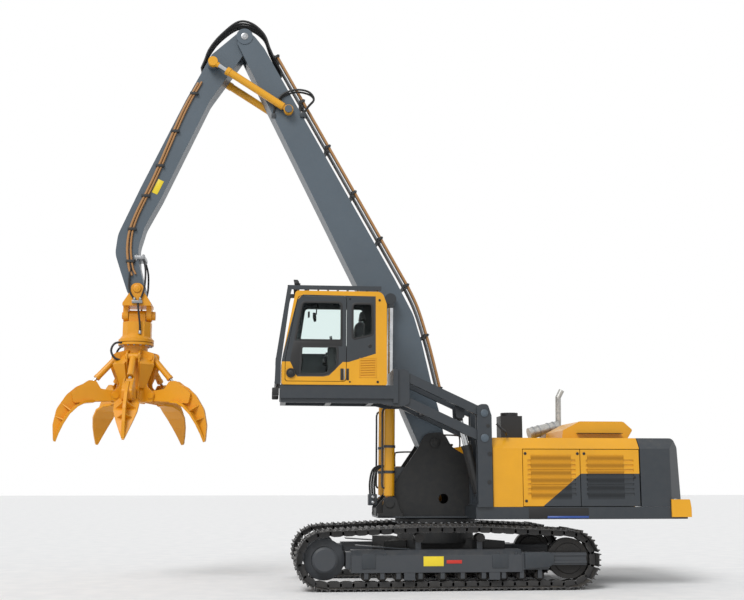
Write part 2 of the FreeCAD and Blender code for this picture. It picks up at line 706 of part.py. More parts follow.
def right_side():
    """Fuel tank and tool box along the right side, as on such machines."""
    low = N["deck_high"] + 2
    half = N["half_width"]
    tank = slab([(60, low), (60, 2290, 60), (740, 2390, 60), (740, low)], 560, half)
    box = slab([(-690, low), (-690, 1900, 60), (-610, 2010, 50), (40, 2010), (40, low)], 700, half)
    keep("side_boxes", Part.makeCompound([tank, box]))


def top_gear():
    """Air cleaner, muffler and exhaust stack on the roof."""
    roof = N["hood_high"]
    cleaner = fuse([block(1045, 1420, -760, -400, roof + 2, roof + 395),
                    Part.makeCylinder(150, 60, Vector(1232, -580, roof + 394))])
    keep("air_cleaner", cleaner)
    low, high = Vector(1845, 560, roof + 150), Vector(2415, 640, roof + 290)
    muffler = fuse([bar(low, high, 105), block(2065, 2215, 530, 670, roof + 2, roof + 180)])
    foot, bend = Vector(2425, 640, roof + 300), Vector(2435, 640, roof + 830)
    tip = bend + Vector(70, 0, 130)
    stack = fuse([bar(foot, bend, 52), Part.makeSphere(52, bend), bar(bend, tip, 52)])
    stack = stack.cut(bar(foot, bend, 44)).cut(Part.makeSphere(44, bend)).cut(
        bar(bend, tip + (tip - bend), 44))
    keep("exhaust", Part.makeCompound([muffler, stack.cut(bar(low, high, 105.5))]))


# Cab and its lift

def lifting_arms():
    """Two pairs of bars that carry the cab and keep it level."""
    # name, height of the rear pin, half depth of the bar, place of the cross tube along it
    arms = [("lift_arm_lower", N["arm_rear_low_z"], 78, 0.72),
            ("lift_arm_upper", N["arm_rear_high_z"], 74, 0.28)]
    reach, climb = N["arm_reach"], N["arm_climb"]
    hole = 42 + N["pin_gap"]
    for label, z, depth, tube_share in arms:
        rear = Vector(N["arm_rear_x"], 0, z)
        front = rear + Vector(-reach, 0, climb)
        shapes = []
        for y in (N["arm_left_y"], N["arm_right_y"]):
            y0, y1 = y - N["arm_thick"] / 2, y + N["arm_thick"] / 2
            across = Vector(climb, 0, reach).normalize() * depth
            flat = [rear - across, rear + across, front + across, front - across]
            web = slab([(p.x, p.z) for p in flat], y0, y1)
            ends = [rod_y(p.x, p.z, depth + 12, y0, y1) for p in (rear, front)]
            shapes.append(fuse([web] + ends))
        middle = rear + (front - rear) * tube_share
        shapes.append(rod_y(middle.x, middle.z, 50, N["arm_left_y"], N["arm_right_y"]))
        if label == "lift_arm_upper":
            x, ram_z, half = N["lift_high_x"], N["lift_high_z"], LIFT_RAM[3]
            lug = [(x - 85, middle.z), (x - 75, ram_z - 60, 50), (x + 75, ram_z - 60, 50), (x + 60, middle.z)]
            for y in LIFT_RAM_Y:
                for side in (-1, 1):
                    ys = sorted((y + side * (half + 7), y + side * (half + 25)))
                    shapes.append(slab(lug, ys[0], ys[1]))
        solid = fuse(shapes)
        for p in (rear, front):
            solid = solid.cut(rod_y(p.x, p.z, hole, -1600, -500))
        keep(label, solid)


def cylinder_pair(name, low, high, y_places, sizes):
    """Barrels and rods of a pair of hydraulic cylinders that work side by side."""
    barrel_r, rod_r, eye_r, eye_half, pin_r, mouth_at, rod_from, goes_in = sizes
    way = (high - low).normalize()
    neck_r = min(eye_half - 3, rod_r * 1.35)
    barrels, rods = [], []
    for y in y_places:
        start, end = low + Vector(0, y, 0), high + Vector(0, y, 0)
        mouth = start + way * mouth_at
        length = (end - start).Length
        foot = bar(start, start + way * (eye_r + 40), eye_half - 3, near=eye_r * 0.4)
        tube = bar(start, mouth, barrel_r, near=eye_r + 22)
        collar = bar(mouth - way * barrel_r * 1.1, mouth, barrel_r * 1.13)
        eye = rod_y(start.x, start.z, eye_r, y - eye_half, y + eye_half)
        bore = bar(start, mouth + way * 5, rod_r + N["pin_gap"], near=rod_from - goes_in)
        pin_hole = rod_y(start.x, start.z, pin_r + N["pin_gap"], y - eye_half - 5, y + eye_half + 5)
        barrels.append(fuse([foot, tube, collar, eye]).cut(bore).cut(pin_hole))
        rod = bar(start, end, rod_r, near=rod_from, far=eye_r * 0.6)
        rod_eye = rod_y(end.x, end.z, eye_r, y - eye_half, y + eye_half)
        neck = bar(start, end, neck_r, near=length - eye_r * 1.5, far=eye_r * 0.5)
        rods.append(fuse([rod, rod_eye, neck]))
    keep(name + "_barrels", Part.makeCompound(barrels))
    keep(name + "_rods", Part.makeCompound(rods))


def lift_cylinders():
    """The pair that raises the cab."""
    low = Vector(N["lift_low_x"], 0, N["lift_low_z"])
    high = Vector(N["lift_high_x"], 0, N["lift_high_z"])
    cylinder_pair("lift", low, high, LIFT_RAM_Y, LIFT_RAM)


def cab_carrier():
    """The carrying frame under the cab and the upright that the lifting arms hold."""
    low, top = N["tray_low"], N["cab_low"]
    x_pin = N["arm_rear_x"] - N["arm_reach"]
    z_low = N["arm_rear_low_z"] + N["arm_climb"]
    z_high = N["arm_rear_high_z"] + N["arm_climb"]
    rear = x_pin - 140
    shapes = []
    left, right = N["cab_left"] + 20, N["cab_right"] - 20
    beam = [(N["tray_front"], top - 220), (N["tray_front"], top), (rear + 40, top), (rear + 40, top - 220)]
    for y in (left, right - 90):
        shapes.append(slab(beam, y, y + 90))
    shapes.append(block(N["tray_front"], rear + 40, left, right, top - 30, top))
    # x, z: the skirt's side view, which drops towards the arms
    skirt = [(N["tray_front"] + 12, low + 6), (N["tray_front"] + 12, top - 200), (rear + 20, top - 200),
             (rear + 20, low - 40), (rear - 90, low - 40, 30), (rear - 260, low, 60)]
    for y in (left + 45, right - 85):
        shapes.append(slab(skirt, y, y + 40))
    for x in (N["tray_front"] + 12, -2000, -1300):
        shapes.append(block(x, x + 90, left + 45, right - 45, low + 6, top - 20))
    shapes.append(block(rear - 40, rear + 40, left, right, low, z_high + 90))
    gap = N["arm_thick"] / 2 + N["side_gap"]
    for y in (N["arm_left_y"], N["arm_right_y"]):
        lug = [(rear, z_low - 100), (x_pin, z_low - 100, 60), (x_pin + 95, z_low - 60, 60),
               (x_pin + 95, z_high + 60, 60), (x_pin, z_high + 100, 60), (rear, z_high + 100)]
        for side in (-1, 1):
            inner, outer = y + side * gap, y + side * (gap + 26)
            shapes.append(slab(lug, min(inner, outer), max(inner, outer)))
        for z in (z_low, z_high):
            shapes.append(rod_y(x_pin, z, 42, y - gap, y + gap))
    keep("cab_carrier", fuse(shapes))


def cab_outline(inset):
    """Side view of the cab, moved in by inset: a tall box with a raked windscreen."""
    front, rear, low, high = N["cab_front"], N["cab_rear"], N["cab_low"], N["cab_high"]
    i = inset
    round_r = max(120 - i, 20)
    return [(front + i, low + i, 30), (front + i, low + 400, 60), (front + 215 + i, high - i, 60),
            (rear - 75 - i, high - i, round_r), (rear - i, high - 210, 60), (rear - i, low + i, 30)]


DOOR_REAR = -1680
REAR_WINDOW = [(-1570, 4050, 40), (-1240, 4130, 60), (-1255, 4640, 50), (-1570, 4640, 50)]


def door_outline(grow):
    """The opening of the cab's door, grown by grow."""
    front, low, high = N["cab_front"], N["cab_low"], N["cab_high"]
    g = grow
    return [(front + 60 - g, low + 60 - g, 40), (front + 62 - g, low + 420, 60),
            (front + 262 - g, high - 90 + g, 70), (DOOR_REAR + g, high - 90 + g, 50),
            (DOOR_REAR + g, low + 60 - g, 60)]


def raked(share_low, share_high, out, inside, y0, y1):
    """A slab along the windscreen's rake: shares of the rake's length, depths under its outer face."""
    low, high = N["cab_low"], N["cab_high"]
    rake = Vector(215, 0, high - low - 400)
    depth = Vector(rake.z, 0, -rake.x).normalize()
    base = Vector(N["cab_front"], 0, low + 400)
    places = ((share_low, out), (share_high, out), (share_high, inside), (share_low, inside))
    points = [base + rake * share + depth * d for share, d in places]
    return slab([(p.x, p.z) for p in points], y0, y1)


def cab_shell():
    """The cab's walls, floor and roof, hollow, with the door and windows cut out."""
    left, right, wall = N["cab_left"], N["cab_right"], N["cab_wall"]
    solid = slab(cab_outline(0), left, right)
    room = slab(cab_outline(wall), left + wall, right - wall)
    solid = solid.cut(room)
    solid = solid.cut(slab(door_outline(8), left - 10, left + wall + 30))
    solid = solid.cut(slab(REAR_WINDOW, left - 10, left + wall + 5))
    # right-hand side window
    side_window = [(-2440, 3900, 60), (-2330, 4680, 60), (-1330, 4680, 60), (-1330, 3900, 60)]
    solid = solid.cut(slab(side_window, right - wall - 5, right + 10))
    # windscreen, in the raked and the upright part of the front
    solid = solid.cut(raked(0.03, 0.94, -60, wall + 40, left + 110, right - 110))
    front, low = N["cab_front"], N["cab_low"]
    solid = solid.cut(block(front - 20, front + wall + 20, left + 150, right - 150, low + 130, low + 360))
    # rear window
    solid = solid.cut(block(N["cab_rear"] - wall - 30, N["cab_rear"] + 20, left + 150, right - 150,
                            4020, 4560))
    # the louvred grille low in the rear side panel
    grille_x0, grille_x1, grille_z0, rows, pitch = -1440, -1200, 3440, 7, 40
    for row in range(rows):
        z = grille_z0 + row * pitch
        solid = solid.cut(slab([(grille_x0, z), (grille_x1, z + 8), (grille_x1, z + 26), (grille_x0, z + 18)],
                               left - 5, left + 14))
    keep("cab_shell", solid)


def cab_door():
    """The door with its two windows, and their panes."""
    left, wall = N["cab_left"], N["cab_wall"]
    upper = [(-2515, 4030, 25), (-2405, 4655, 60), (-1765, 4655, 60), (-1765, 4030, 25)]
    lower = [(-2435, 3470, 25), (-2408, 3915, 30), (-1830, 3915, 30), (-1830, 3560, 170), (-2060, 3470, 120)]
    shape = slab(door_outline(0), left, left + wall)
    lamp = revolve([(0, 0), (0, 70), (14, 62), (20, 0)], Vector(-2585, left + 1, 3480), Vector(0, -1, 0))
    shape = fuse([shape, lamp])
    for hole in (upper, lower):
        shape = shape.cut(slab(hole, left - 10, left + wall + 10))
    keep("cab_door", shape)
    panes = [slab(hole, left + 18, left + 24) for hole in (upper, lower)]
    keep("door_glass", Part.makeCompound(panes))


def cab_glass():
    """Fixed panes of the cab."""
    left, right, wall = N["cab_left"], N["cab_right"], N["cab_wall"]
    panes = [slab(REAR_WINDOW, left + 18, left + 24)]
    side_window = [(-2440, 3900, 60), (-2330, 4680, 60), (-1330, 4680, 60), (-1330, 3900, 60)]
    panes.append(slab(side_window, right - 24, right - 18))
    panes.append(block(N["cab_rear"] - 30, N["cab_rear"] - 24, left + 150, right - 150, 4020, 4560))
    panes.append(raked(0.04, 0.93, 22, 28, left + 112, right - 112))
    front, low = N["cab_front"], N["cab_low"]
    panes.append(block(front + 22, front + 28, left + 152, right - 152, low + 132, low + 358))
    keep("cab_glass", Part.makeCompound(panes))


def cab_inside():
    """Seat, and the side desks with their levers."""
    floor = N["cab_low"] + N["cab_wall"] + 2
    middle = (N["cab_left"] + N["cab_right"]) / 2
    seat = [(-2080, floor + 330, 60), (-2080, floor + 460, 50), (-1560, floor + 440, 60),
            (-1430, floor + 1090, 60),
            (-1310, floor + 1070, 50), (-1430, floor + 330, 60)]
    keep("seat", slab(seat, middle - 240, middle + 240))
    shapes = [block(-1900, -1500, middle - 170, middle + 170, floor, floor + 328)]
    for side in (-1, 1):
        ys = sorted((middle + side * 262, middle + side * 372))
        shapes.append(block(-1980, -1450, ys[0], ys[1], floor, floor + 560))
        lever_y = middle + side * 317
        shapes.append(bar(Vector(-1900, lever_y, floor + 540), Vector(-1930, lever_y, floor + 760), 22))
    shapes.append(block(-1960, -1520, middle - 372, middle + 372, floor, floor + 30))
    keep("desks", fuse(shapes))


def cab_guards():
    """Bars over the roof and in front of the windscreen."""
    left, right = N["cab_left"] + 10, N["cab_right"] - 10
    high = N["cab_high"]
    front = N["cab_front"]
    shapes = []
    frame_z = high + 22
    top_z = frame_z + 70
    for y in (left, right - 25):
        shapes.append(block(front + 80, N["cab_rear"] - 90, y, y + 25, frame_z, top_z))
    for k in range(10):
        x = front + 90 + k * 166
        shapes.append(block(x, x + 22, left, right, frame_z + 24, top_z - 6))
    for x in (front + 360, N["cab_rear"] - 350):
        for y in (left + 2, right - 52):
            shapes.append(block(x, x + 50, y, y + 50, high + 1, frame_z + 5))
    bars = 5
    foot_x, foot_z = front - 95, N["cab_low"] + 40
    for k in range(bars):
        y = left + 20 + (right - left - 60) * k / (bars - 1)
        start = Vector(foot_x, y, foot_z)
        knee = Vector(foot_x + 12, y, N["cab_low"] + 420)
        end = Vector(front + 105, y, frame_z + 40)
        shapes.append(bar(start, knee, 16))
        shapes.append(Part.makeSphere(16, knee))
        shapes.append(bar(knee, end, 16))
    for z, x in ((foot_z, foot_x), (N["cab_low"] + 420, foot_x + 12), (4300, foot_x + 112)):
        shapes.append(rod_y(x, z, 20, left, right))
    knee_z = N["cab_low"] + 420
    # x, z: side plate of the front guard, from foot to roof
    plate = [(foot_x - 16, foot_z - 30, 15), (foot_x - 4, knee_z, 200), (front + 84, top_z, 10),
             (front + 150, top_z),
             (front + 150, frame_z), (front + 128, frame_z - 90, 40), (front - 12, knee_z - 20, 200),
             (front - 12, foot_z - 30, 15)]
    for y in (left, right - 14):
        shapes.append(slab(plate, y, y + 14))
    keep("cab_guards", fuse(shapes))


# Boom, stick and their cylinders

# x, z, corner radius: side view of the boom, up the back, over the head and down the front
BOOM_SIDE = [(150, 2400, 100), (60, 2900, 300), (-100, 3500, 500), (-252, 4164, 700), (-400, 4665, 800),
             (-726, 5295, 800), (-3120, 9560, 200), (-3390, 9900, 170), (-3640, 9700, 120),
             (-3500, 9420, 100), (-1660, 5690, 700), (-1380, 5130, 900), (-560, 2920, 500),
             (-300, 2330, 160), (-40, 2180, 180)]


def boom():
    """The boom: a welded box that is widest where its cylinders push, with bosses at its pins."""
    half = N["boom_half"]
    shapes = [slab(BOOM_SIDE, -half, half)]
    foot = (N["foot_x"], N["foot_z"])
    shapes.append(rod_y(foot[0], foot[1], 150, -318, 318))
    head = (N["head_x"], N["head_z"])
    shapes.append(rod_y(head[0], head[1], 150, -half - 12, half + 12))
    ram = (N["ram_high_x"], N["ram_high_z"])
    reach = N["ram_y"] - BOOM_RAM[3] - 8
    shapes.append(rod_y(ram[0], ram[1], 125, -reach, reach))
    eye_half, ram_pin = STICK_RAM[3:5]
    reach = N["arm_ram_y"] - eye_half - 6
    far = N["arm_ram_y"] + eye_half + 8
    shapes.append(rod_y(N["arm_ram_boom_x"], N["arm_ram_boom_z"], 96, -reach, reach))
    shapes.append(rod_y(N["arm_ram_boom_x"], N["arm_ram_boom_z"], ram_pin, -far - 18, far + 18))
    for y in (-far - 18, far):
        shapes.append(rod_y(N["arm_ram_boom_x"], N["arm_ram_boom_z"], 70, y, y + 18))
    solid = fuse(shapes)
    # the head is a fork for the stick
    gap = N["stick_half"] + N["side_gap"]
    mouth = [(-4300, 9000), (-3780, 9080, 0), (-3300, 9420, 120), (-3130, 9640, 120), (-3200, 10200),
             (-4300, 10200)]
    solid = solid.cut(slab(mouth, -gap, gap))
    solid = fuse([solid, rod_y(head[0], head[1], 70, -half, half)])
    solid = fuse([solid, rod_y(foot[0], foot[1], 75, -N["plate_y"] - 40, N["plate_y"] + 40)])
    keep("boom", solid)


def stick():
    """The stick: a slim box with a bent lower end that the grab's hanger straddles."""
    half = N["stick_half"]
    # x, z, corner radius
    side = [(-3400, 9600, 120), (-3350, 9860, 120), (-3560, 9920, 120), (-4075, 9440, 130), (-4150, 9290, 60),
            (-4524, 8539, 900), (-5265, 6903, 900), (-5633, 6036, 500), (-5670, 5692, 400),
            (-5565, 5374, 200),
            (-5420, 4960, 90), (-5110, 4960, 90), (-5250, 5494, 300), (-5273, 5813, 400), (-5174, 6183, 500),
            (-4901, 6723, 900), (-4091, 8554, 900)]
    shapes = [slab(side, -half, half)]
    ram = (N["arm_ram_stick_x"], N["arm_ram_stick_z"])
    reach = N["arm_ram_y"] - STICK_RAM[3] - 6
    shapes.append(rod_y(ram[0], ram[1], 105, -reach, reach))
    solid = fuse(shapes)
    solid = solid.cut(rod_y(N["head_x"], N["head_z"], 70 + N["pin_gap"], -400, 400))
    keep("stick", solid.cut(rod_y(N["grab_x"], N["grab_z"], 55 + N["pin_gap"], -400, 400)))


def main_cylinders():
    """The pairs that raise the boom and swing the stick."""
    low = Vector(N["ram_low_x"], 0, N["ram_low_z"])
    high = Vector(N["ram_high_x"], 0, N["ram_high_z"])
    y = N["ram_y"]
    cylinder_pair("boom_ram", low, high, (-y, y), BOOM_RAM)
    low = Vector(N["arm_ram_boom_x"], 0, N["arm_ram_boom_z"])
    high = Vector(N["arm_ram_stick_x"], 0, N["arm_ram_stick_z"])
    y = N["arm_ram_y"]
    cylinder_pair("stick_ram", low, high, (-y, y), STICK_RAM)


# Grab

def hanger():
    """The link between the stick's pin and the grab's cross pin."""
    x, z = N["grab_x"], N["grab_z"]
    cross = N["swing_z"]
    inside = N["stick_half"] + N["side_gap"]
    outside = inside + 32
    base, top = cross + 150, cross + 195
    cheek = [(x - 245, base), (x - 245, top, 25), (x - 112, z - 40, 80), (x - 105, z + 100, 98),
             (x + 105, z + 100, 98), (x + 112, z - 40, 80), (x + 245, top, 25), (x + 245, base)]
    shapes = [slab(cheek, -outside, -inside), slab(cheek, inside, outside)]
    shapes.append(block(x - 245, x + 245, -outside, outside, base, base + 36))
    shapes.append(rod_y(x, z, 72, -outside - 14, -outside + 5))
    shapes.append(rod_y(x, z, 72, outside - 5, outside + 14))
    shapes.append(rod_y(x, z, 55, -outside, outside))
    for side in (-1, 1):
        ear = (x + side * 200 - 45, x + side * 200 + 45)
        shapes.append(block(ear[0], ear[1], -110, 110, cross - 20, base + 10))
        shapes.append(Part.makeCylinder(110, 90, Vector(ear[0], 0, cross), Vector(1, 0, 0)))
    shapes.append(Part.makeCylinder(45, 560, Vector(x - 270, 0, cross), Vector(1, 0, 0)))
    # the cross pin's heads, the larger one towards the cab
    shapes.append(Part.makeCylinder(78, 66, Vector(x + 240, 0, cross), Vector(1, 0, 0)))
    shapes.append(Part.makeCylinder(62, 30, Vector(x - 270, 0, cross), Vector(1, 0, 0)))
    keep("hanger", fuse(shapes))


def grab_head():
    """The head with the rotating drive, hung on the cross pin."""
    x, cross, low = N["grab_axis_x"] + 13, N["swing_z"], N["head_low"]
    shapes = [block(x - 145, x + 145, -95, 95, cross - 130, cross)]
    shapes.append(Part.makeCylinder(95, 290, Vector(x - 145, 0, cross), Vector(1, 0, 0)))
    plan = [(145, -215), (240, -110), (240, 110), (145, 215), (-145, 215), (-240, 110), (-240, -110),
            (-145, -215)]
    ring = [Vector(x + u, v, low + 30) for u, v in plan + plan[:1]]
    shapes.append(Part.Face(Part.makePolygon(ring)).extrude(
        Vector(0, 0, cross - 125 - low - 30)))
    # height, radius: the flange and the flare above it
    flare = [(low, 0), (low, 306), (low + 50, 306), (low + 62, 288), (low + 150, 222), (low + 150, 0)]
    shapes.append(revolve(flare, Vector(N["grab_axis_x"], 0, 0), Vector(0, 0, 1)))
    solid = fuse(shapes)
    hole = Part.makeCylinder(45 + N["pin_gap"], 700, Vector(x - 350, 0, cross), Vector(1, 0, 0))
    keep("grab_head", solid.cut(hole))


def tine_places():
    """The angle of each tine round the grab's axis."""
    count = int(N["tine_count"])
    return [-90 - N["tine_turn"] - 360 * k / count for k in range(count)]


def round_grab(shape, angle):
    """Turns a shape that was made along +X from the grab's axis into its place."""
    placed = shape.copy()
    placed.rotate(Vector(0, 0, 0), Vector(0, 0, 1), angle)
    placed.translate(Vector(N["grab_axis_x"], 0, 0))
    return placed


def grab_hub():
    """The hub: a column with five wedge-shaped pods, and between them five pairs of lugs that hold
    the tines and their cylinders."""
    high, low = N["hub_high"], N["hub_low"]
    # height, radius: the column with its foot drum
    column = [(low - 10, 0), (low - 10, 150), (low + 25, 250), (low + 195, 250), (low + 245, 200),
              (high - 20, 205),
              (N["head_low"] - 8, 205), (N["head_low"] - 8, 0)]
    centre = revolve(column, Vector(N["grab_axis_x"], 0, 0), Vector(0, 0, 1))
    flange = Part.makeCylinder(306, 45, Vector(N["grab_axis_x"], 0, N["head_low"] - 55))
    shapes = [centre, flange]
    # height, reach, half width at the reach, half width at the column: stations of a pod
    pod = [(low + 240, 265, 70, 40), (N["hub_wide_z"], N["hub_wide"], 138, 70), (high, 198, 96, 60)]
    rings = []
    for z, reach, wide, narrow in pod:
        ring = [Vector(100, -narrow, z), Vector(reach, -wide, z), Vector(reach, wide, z),
                Vector(100, narrow, z)]
        rings.append(Part.makePolygon(ring + ring[:1]))
    lower_half = Part.makeLoft(rings[:2], True, True)
    upper_half = Part.makeLoft(rings[1:], True, True)
    half_turn = 180 / int(N["tine_count"])
    for angle in tine_places():
        shapes.append(round_grab(lower_half, angle + half_turn))
        shapes.append(round_grab(upper_half, angle + half_turn))
    gap = N["tine_half"] + N["side_gap"]
    solid = fuse(shapes)
    for angle in tine_places():
        slot = block(215, 700, -gap - 10, gap + 10, low + 196, high - 5)
        solid = solid.cut(round_grab(slot, angle))
    shapes = [solid]
    pin_r, pin_z = N["tine_pin_r"], N["tine_pin_z"]
    ram_r, ram_z = N["tine_ram_r"], N["tine_ram_z"]
    lug = [(120, low), (pin_r + 40, low, 50), (pin_r + 80, pin_z + 30, 70), (290, pin_z + 150, 60),
           (265, 3560, 200),
           (ram_r + 62, ram_z - 100, 60), (ram_r + 72, ram_z + 66, 60), (190, high + 40, 0),
           (120, high + 40, 0)]
    gap = N["tine_half"] + N["side_gap"]
    for angle in tine_places():
        for side in (-1, 1):
            ys = sorted((side * gap, side * (gap + 26)))
            shapes.append(round_grab(slab(lug, ys[0], ys[1]), angle))
        for r, z, radius in ((pin_r, pin_z, TINE_PIN), (ram_r, ram_z, TINE_RAM[4])):
            shapes.append(round_grab(rod_y(r, z, radius, -gap - 40, gap + 40), angle))
            for y in (-gap - 42, gap + 24):
                shapes.append(round_grab(rod_y(r, z, radius + 22, y, y + 18), angle))
    keep("grab_hub", fuse(shapes))


def tine_solid():
    """One tine along +X from the axis: two cheeks that hold the cylinder's rod, a broad curved blade
    that widens and then runs to a point, and a rib along its back."""
    pin_r, pin_z = N["tine_pin_r"], N["tine_pin_z"]
    eye_r, eye_z = N["tine_eye_r"], N["tine_eye_z"]
    half, room = N["tine_half"], TINE_RAM[3] + N["side_gap"]
    # r, z, corner radius: side view of a cheek, an arm with the cylinder's lug on it
    cheek = [(pin_r - 68, pin_z - 50, 55), (pin_r - 62, pin_z + 70, 60), (eye_r - 165, pin_z + 108, 50),
             (eye_r - 78, eye_z + 58, 55), (eye_r + 45, eye_z + 62, 55), (960, 3330, 60), (1000, 3080, 40),
             (700, 3085, 200), (pin_r + 40, pin_z - 95, 60)]
    shapes = []
    for side in (-1, 1):
        ys = sorted((side * room, side * half))
        shapes.append(slab(cheek, ys[0], ys[1]))
    shapes.append(rod_y(pin_r, pin_z, 66, -half, half))
    box_end = [(850, 3085), (850, 3395), (960, 3330, 60), (1080, 3225, 60), (1040, 3050, 40), (900, 3060)]
    shapes.append(slab(box_end, -half, half))
    shapes.append(slab([(420, 3125), (440, 3150), (860, 3125), (860, 3085)], -half, half))
    # r, z, corner radius: side view of the rib along the back
    rib = [(900, 3380), (1000, 3330, 60), (1150, 3195, 250), (1305, 2950, 260), (1358, 2680, 200),
           (1338, 2390, 10), (1268, 2560, 200), (1150, 2830, 200), (1000, 3000, 100), (900, 3060)]
    shapes.append(slab(rib, -26, 26))
    # r, z, half width: stations of the blade's middle
    blade = [(690, 3092, 88), (850, 3075, 150), (990, 3000, 205), (1120, 2870, 196), (1215, 2700, 140),
             (1280, 2535, 75), (1318, 2400, 18)]
    sections = []
    for i, (r, z, wide) in enumerate(blade):
        before = blade[max(i - 1, 0)]
        after = blade[min(i + 1, len(blade) - 1)]
        way = Vector(after[0] - before[0], 0, after[1] - before[1]).normalize()
        up = Vector(-way.z, 0, way.x) * 20
        middle = Vector(r, 0, z)
        sections.append(Part.makePolygon([middle + up + Vector(0, -wide, 0), middle + up + Vector(0, wide, 0),
                                          middle - up + Vector(0, wide, 0), middle - up + Vector(0, -wide, 0),
                                          middle + up + Vector(0, -wide, 0)]))
    shapes.append(Part.makeLoft(sections, True, True))
    # r, z, lean outwards, half width, height over the blade: gussets from the rib to the blade's edges
    gussets = [(1088, 2905, 42, 180, 172), (1186, 2745, 26, 135, 145)]
    for r, z, lean, wide, tall in gussets:
        out = Vector(math.cos(math.radians(lean)), 0, math.sin(math.radians(lean)))
        foot = Vector(r, 0, z)
        corners = [foot + Vector(0, -wide, 0), foot + Vector(0, wide, 0),
                   foot + out * tall + Vector(0, 28, 0),
                   foot + out * tall + Vector(0, -28, 0)]
        across = Vector(-out.z, 0, out.x) * 18
        shapes.append(Part.Face(Part.makePolygon(corners + corners[:1])).extrude(across))
    hole = rod_y(pin_r, pin_z, TINE_PIN + N["pin_gap"], -300, 300)
    return fuse(shapes).cut(hole)


def tines():
    """Five tines, each with its cylinder's barrel and rod."""
    claw = tine_solid()
    barrel_r, rod_r, eye_r, eye_half, ram_pin, mouth_at, rod_from, goes_in = TINE_RAM
    eye = Vector(N["tine_eye_r"], 0, N["tine_eye_z"])
    top = Vector(N["tine_ram_r"], 0, N["tine_ram_z"])
    way = (eye - top).normalize()
    mouth = top + way * mouth_at
    gap = N["tine_half"]
    barrel = fuse([bar(top, mouth, barrel_r, near=20), rod_y(top.x, top.z, barrel_r + 4, -gap, gap),
                   bar(mouth - way * 45, mouth, barrel_r + 4)])
    barrel = barrel.cut(bar(top, mouth + way * 5, rod_r + N["pin_gap"], near=rod_from - goes_in))
    barrel = barrel.cut(rod_y(top.x, top.z, ram_pin + N["pin_gap"], -300, 300))
    rod = fuse([bar(top, eye, rod_r, near=rod_from, far=30), rod_y(eye.x, eye.z, eye_r, -eye_half, eye_half)])
    for k, angle in enumerate(tine_places(), start=1):
        keep("tine_{}".format(k), round_grab(claw, angle))
        keep("tine_barrel_{}".format(k), round_grab(barrel, angle))
        keep("tine_rod_{}".format(k), round_grab(rod, angle))


# The whole machine

car_body()
slew_ring()
track_frames()
tracks()
running_gear()
platform()
boom_pedestal()
riser()
housing()
engine_doors()
engine_bay()
hood_lid()
counterweight()
right_side()
top_gear()
lifting_arms()
lift_cylinders()
cab_carrier()
cab_shell()
cab_door()
cab_glass()
cab_inside()
cab_guards()
boom()
stick()
main_cylinders()
hanger()
grab_head()
grab_hub()
tines()
doc.recompute()

for item in doc.Objects:
    if any(word in item.State for word in ("Invalid", "Error")):
        raise RuntimeError("{} failed: {}".format(item.Label, item.State))
whole = FreeCAD.BoundBox()
os.makedirs("parts", exist_ok=True)
for piece in subparts:
    shape = piece.Shape
    if shape.isNull() or not shape.isValid() or not shape.Solids:
        raise RuntimeError("{} has no valid solid".format(piece.Label))
    whole.add(shape.BoundBox)
    shape.exportStep("parts/{}.step".format(piece.Label))
print("{} sub-parts, {:.0f} x {:.0f} x {:.0f} mm".format(
    len(subparts), whole.XLength, whole.YLength, whole.ZLength))
print("x {:.0f} to {:.0f}, z {:.0f} to {:.0f}".format(whole.XMin, whole.XMax, whole.ZMin, whole.ZMax))
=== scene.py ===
# %% [markdown]
# # A tracked material handler, dressed in Blender
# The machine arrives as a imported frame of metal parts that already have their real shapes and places.
# This lesson
# gives every surface its finish and adds what sheet-metal drawings leave out: shoes and links, louvres,
# pipes,
# hoses, seals, bolts, the padded seat and the lamps. Nothing here moves or resizes a part of the frame.

# %% Load the frame
import json
import math

import bmesh
import bpy
from mathutils import Matrix, Vector


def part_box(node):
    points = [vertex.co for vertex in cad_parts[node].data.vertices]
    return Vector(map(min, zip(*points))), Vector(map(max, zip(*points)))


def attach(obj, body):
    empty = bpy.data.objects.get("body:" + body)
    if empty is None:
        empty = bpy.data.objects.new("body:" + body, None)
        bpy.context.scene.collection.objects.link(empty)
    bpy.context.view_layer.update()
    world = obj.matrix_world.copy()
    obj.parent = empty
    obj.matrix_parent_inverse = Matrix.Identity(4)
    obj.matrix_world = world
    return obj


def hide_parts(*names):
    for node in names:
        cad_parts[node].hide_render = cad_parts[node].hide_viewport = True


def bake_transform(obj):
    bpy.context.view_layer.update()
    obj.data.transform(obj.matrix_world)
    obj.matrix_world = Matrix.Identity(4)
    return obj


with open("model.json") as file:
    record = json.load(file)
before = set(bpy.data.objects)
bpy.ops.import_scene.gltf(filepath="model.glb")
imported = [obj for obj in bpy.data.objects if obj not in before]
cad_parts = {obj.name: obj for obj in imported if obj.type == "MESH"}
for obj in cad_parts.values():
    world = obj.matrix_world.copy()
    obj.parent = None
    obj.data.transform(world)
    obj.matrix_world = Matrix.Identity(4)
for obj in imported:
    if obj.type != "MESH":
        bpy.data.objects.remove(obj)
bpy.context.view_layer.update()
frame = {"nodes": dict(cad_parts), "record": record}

# %% [markdown]
# ## Places
# All lengths are in metres. The machine turns on its slew ring, so places are easiest to read from the
# slew axis:
# x runs to the tail, y to the right-hand side and z up. The helper below turns such a place into the
# frame's own
# coordinates, whose origin is in the middle of the machine's box.

# %% Places from the slew axis
ring_low, ring_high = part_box("slew_ring")
SLEW_X = (ring_low.x + ring_high.x) / 2


def at(x, y, z):
    """A place given from the slew axis."""
    return Vector((x + SLEW_X, y, z))


def size_of(node):
    """Lowest and highest corner of a frame node, from the slew axis."""
    low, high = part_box(node)
    shift = Vector((SLEW_X, 0, 0))
    return low - shift, high - shift


print("slew axis at x = {:.3f}".format(SLEW_X))

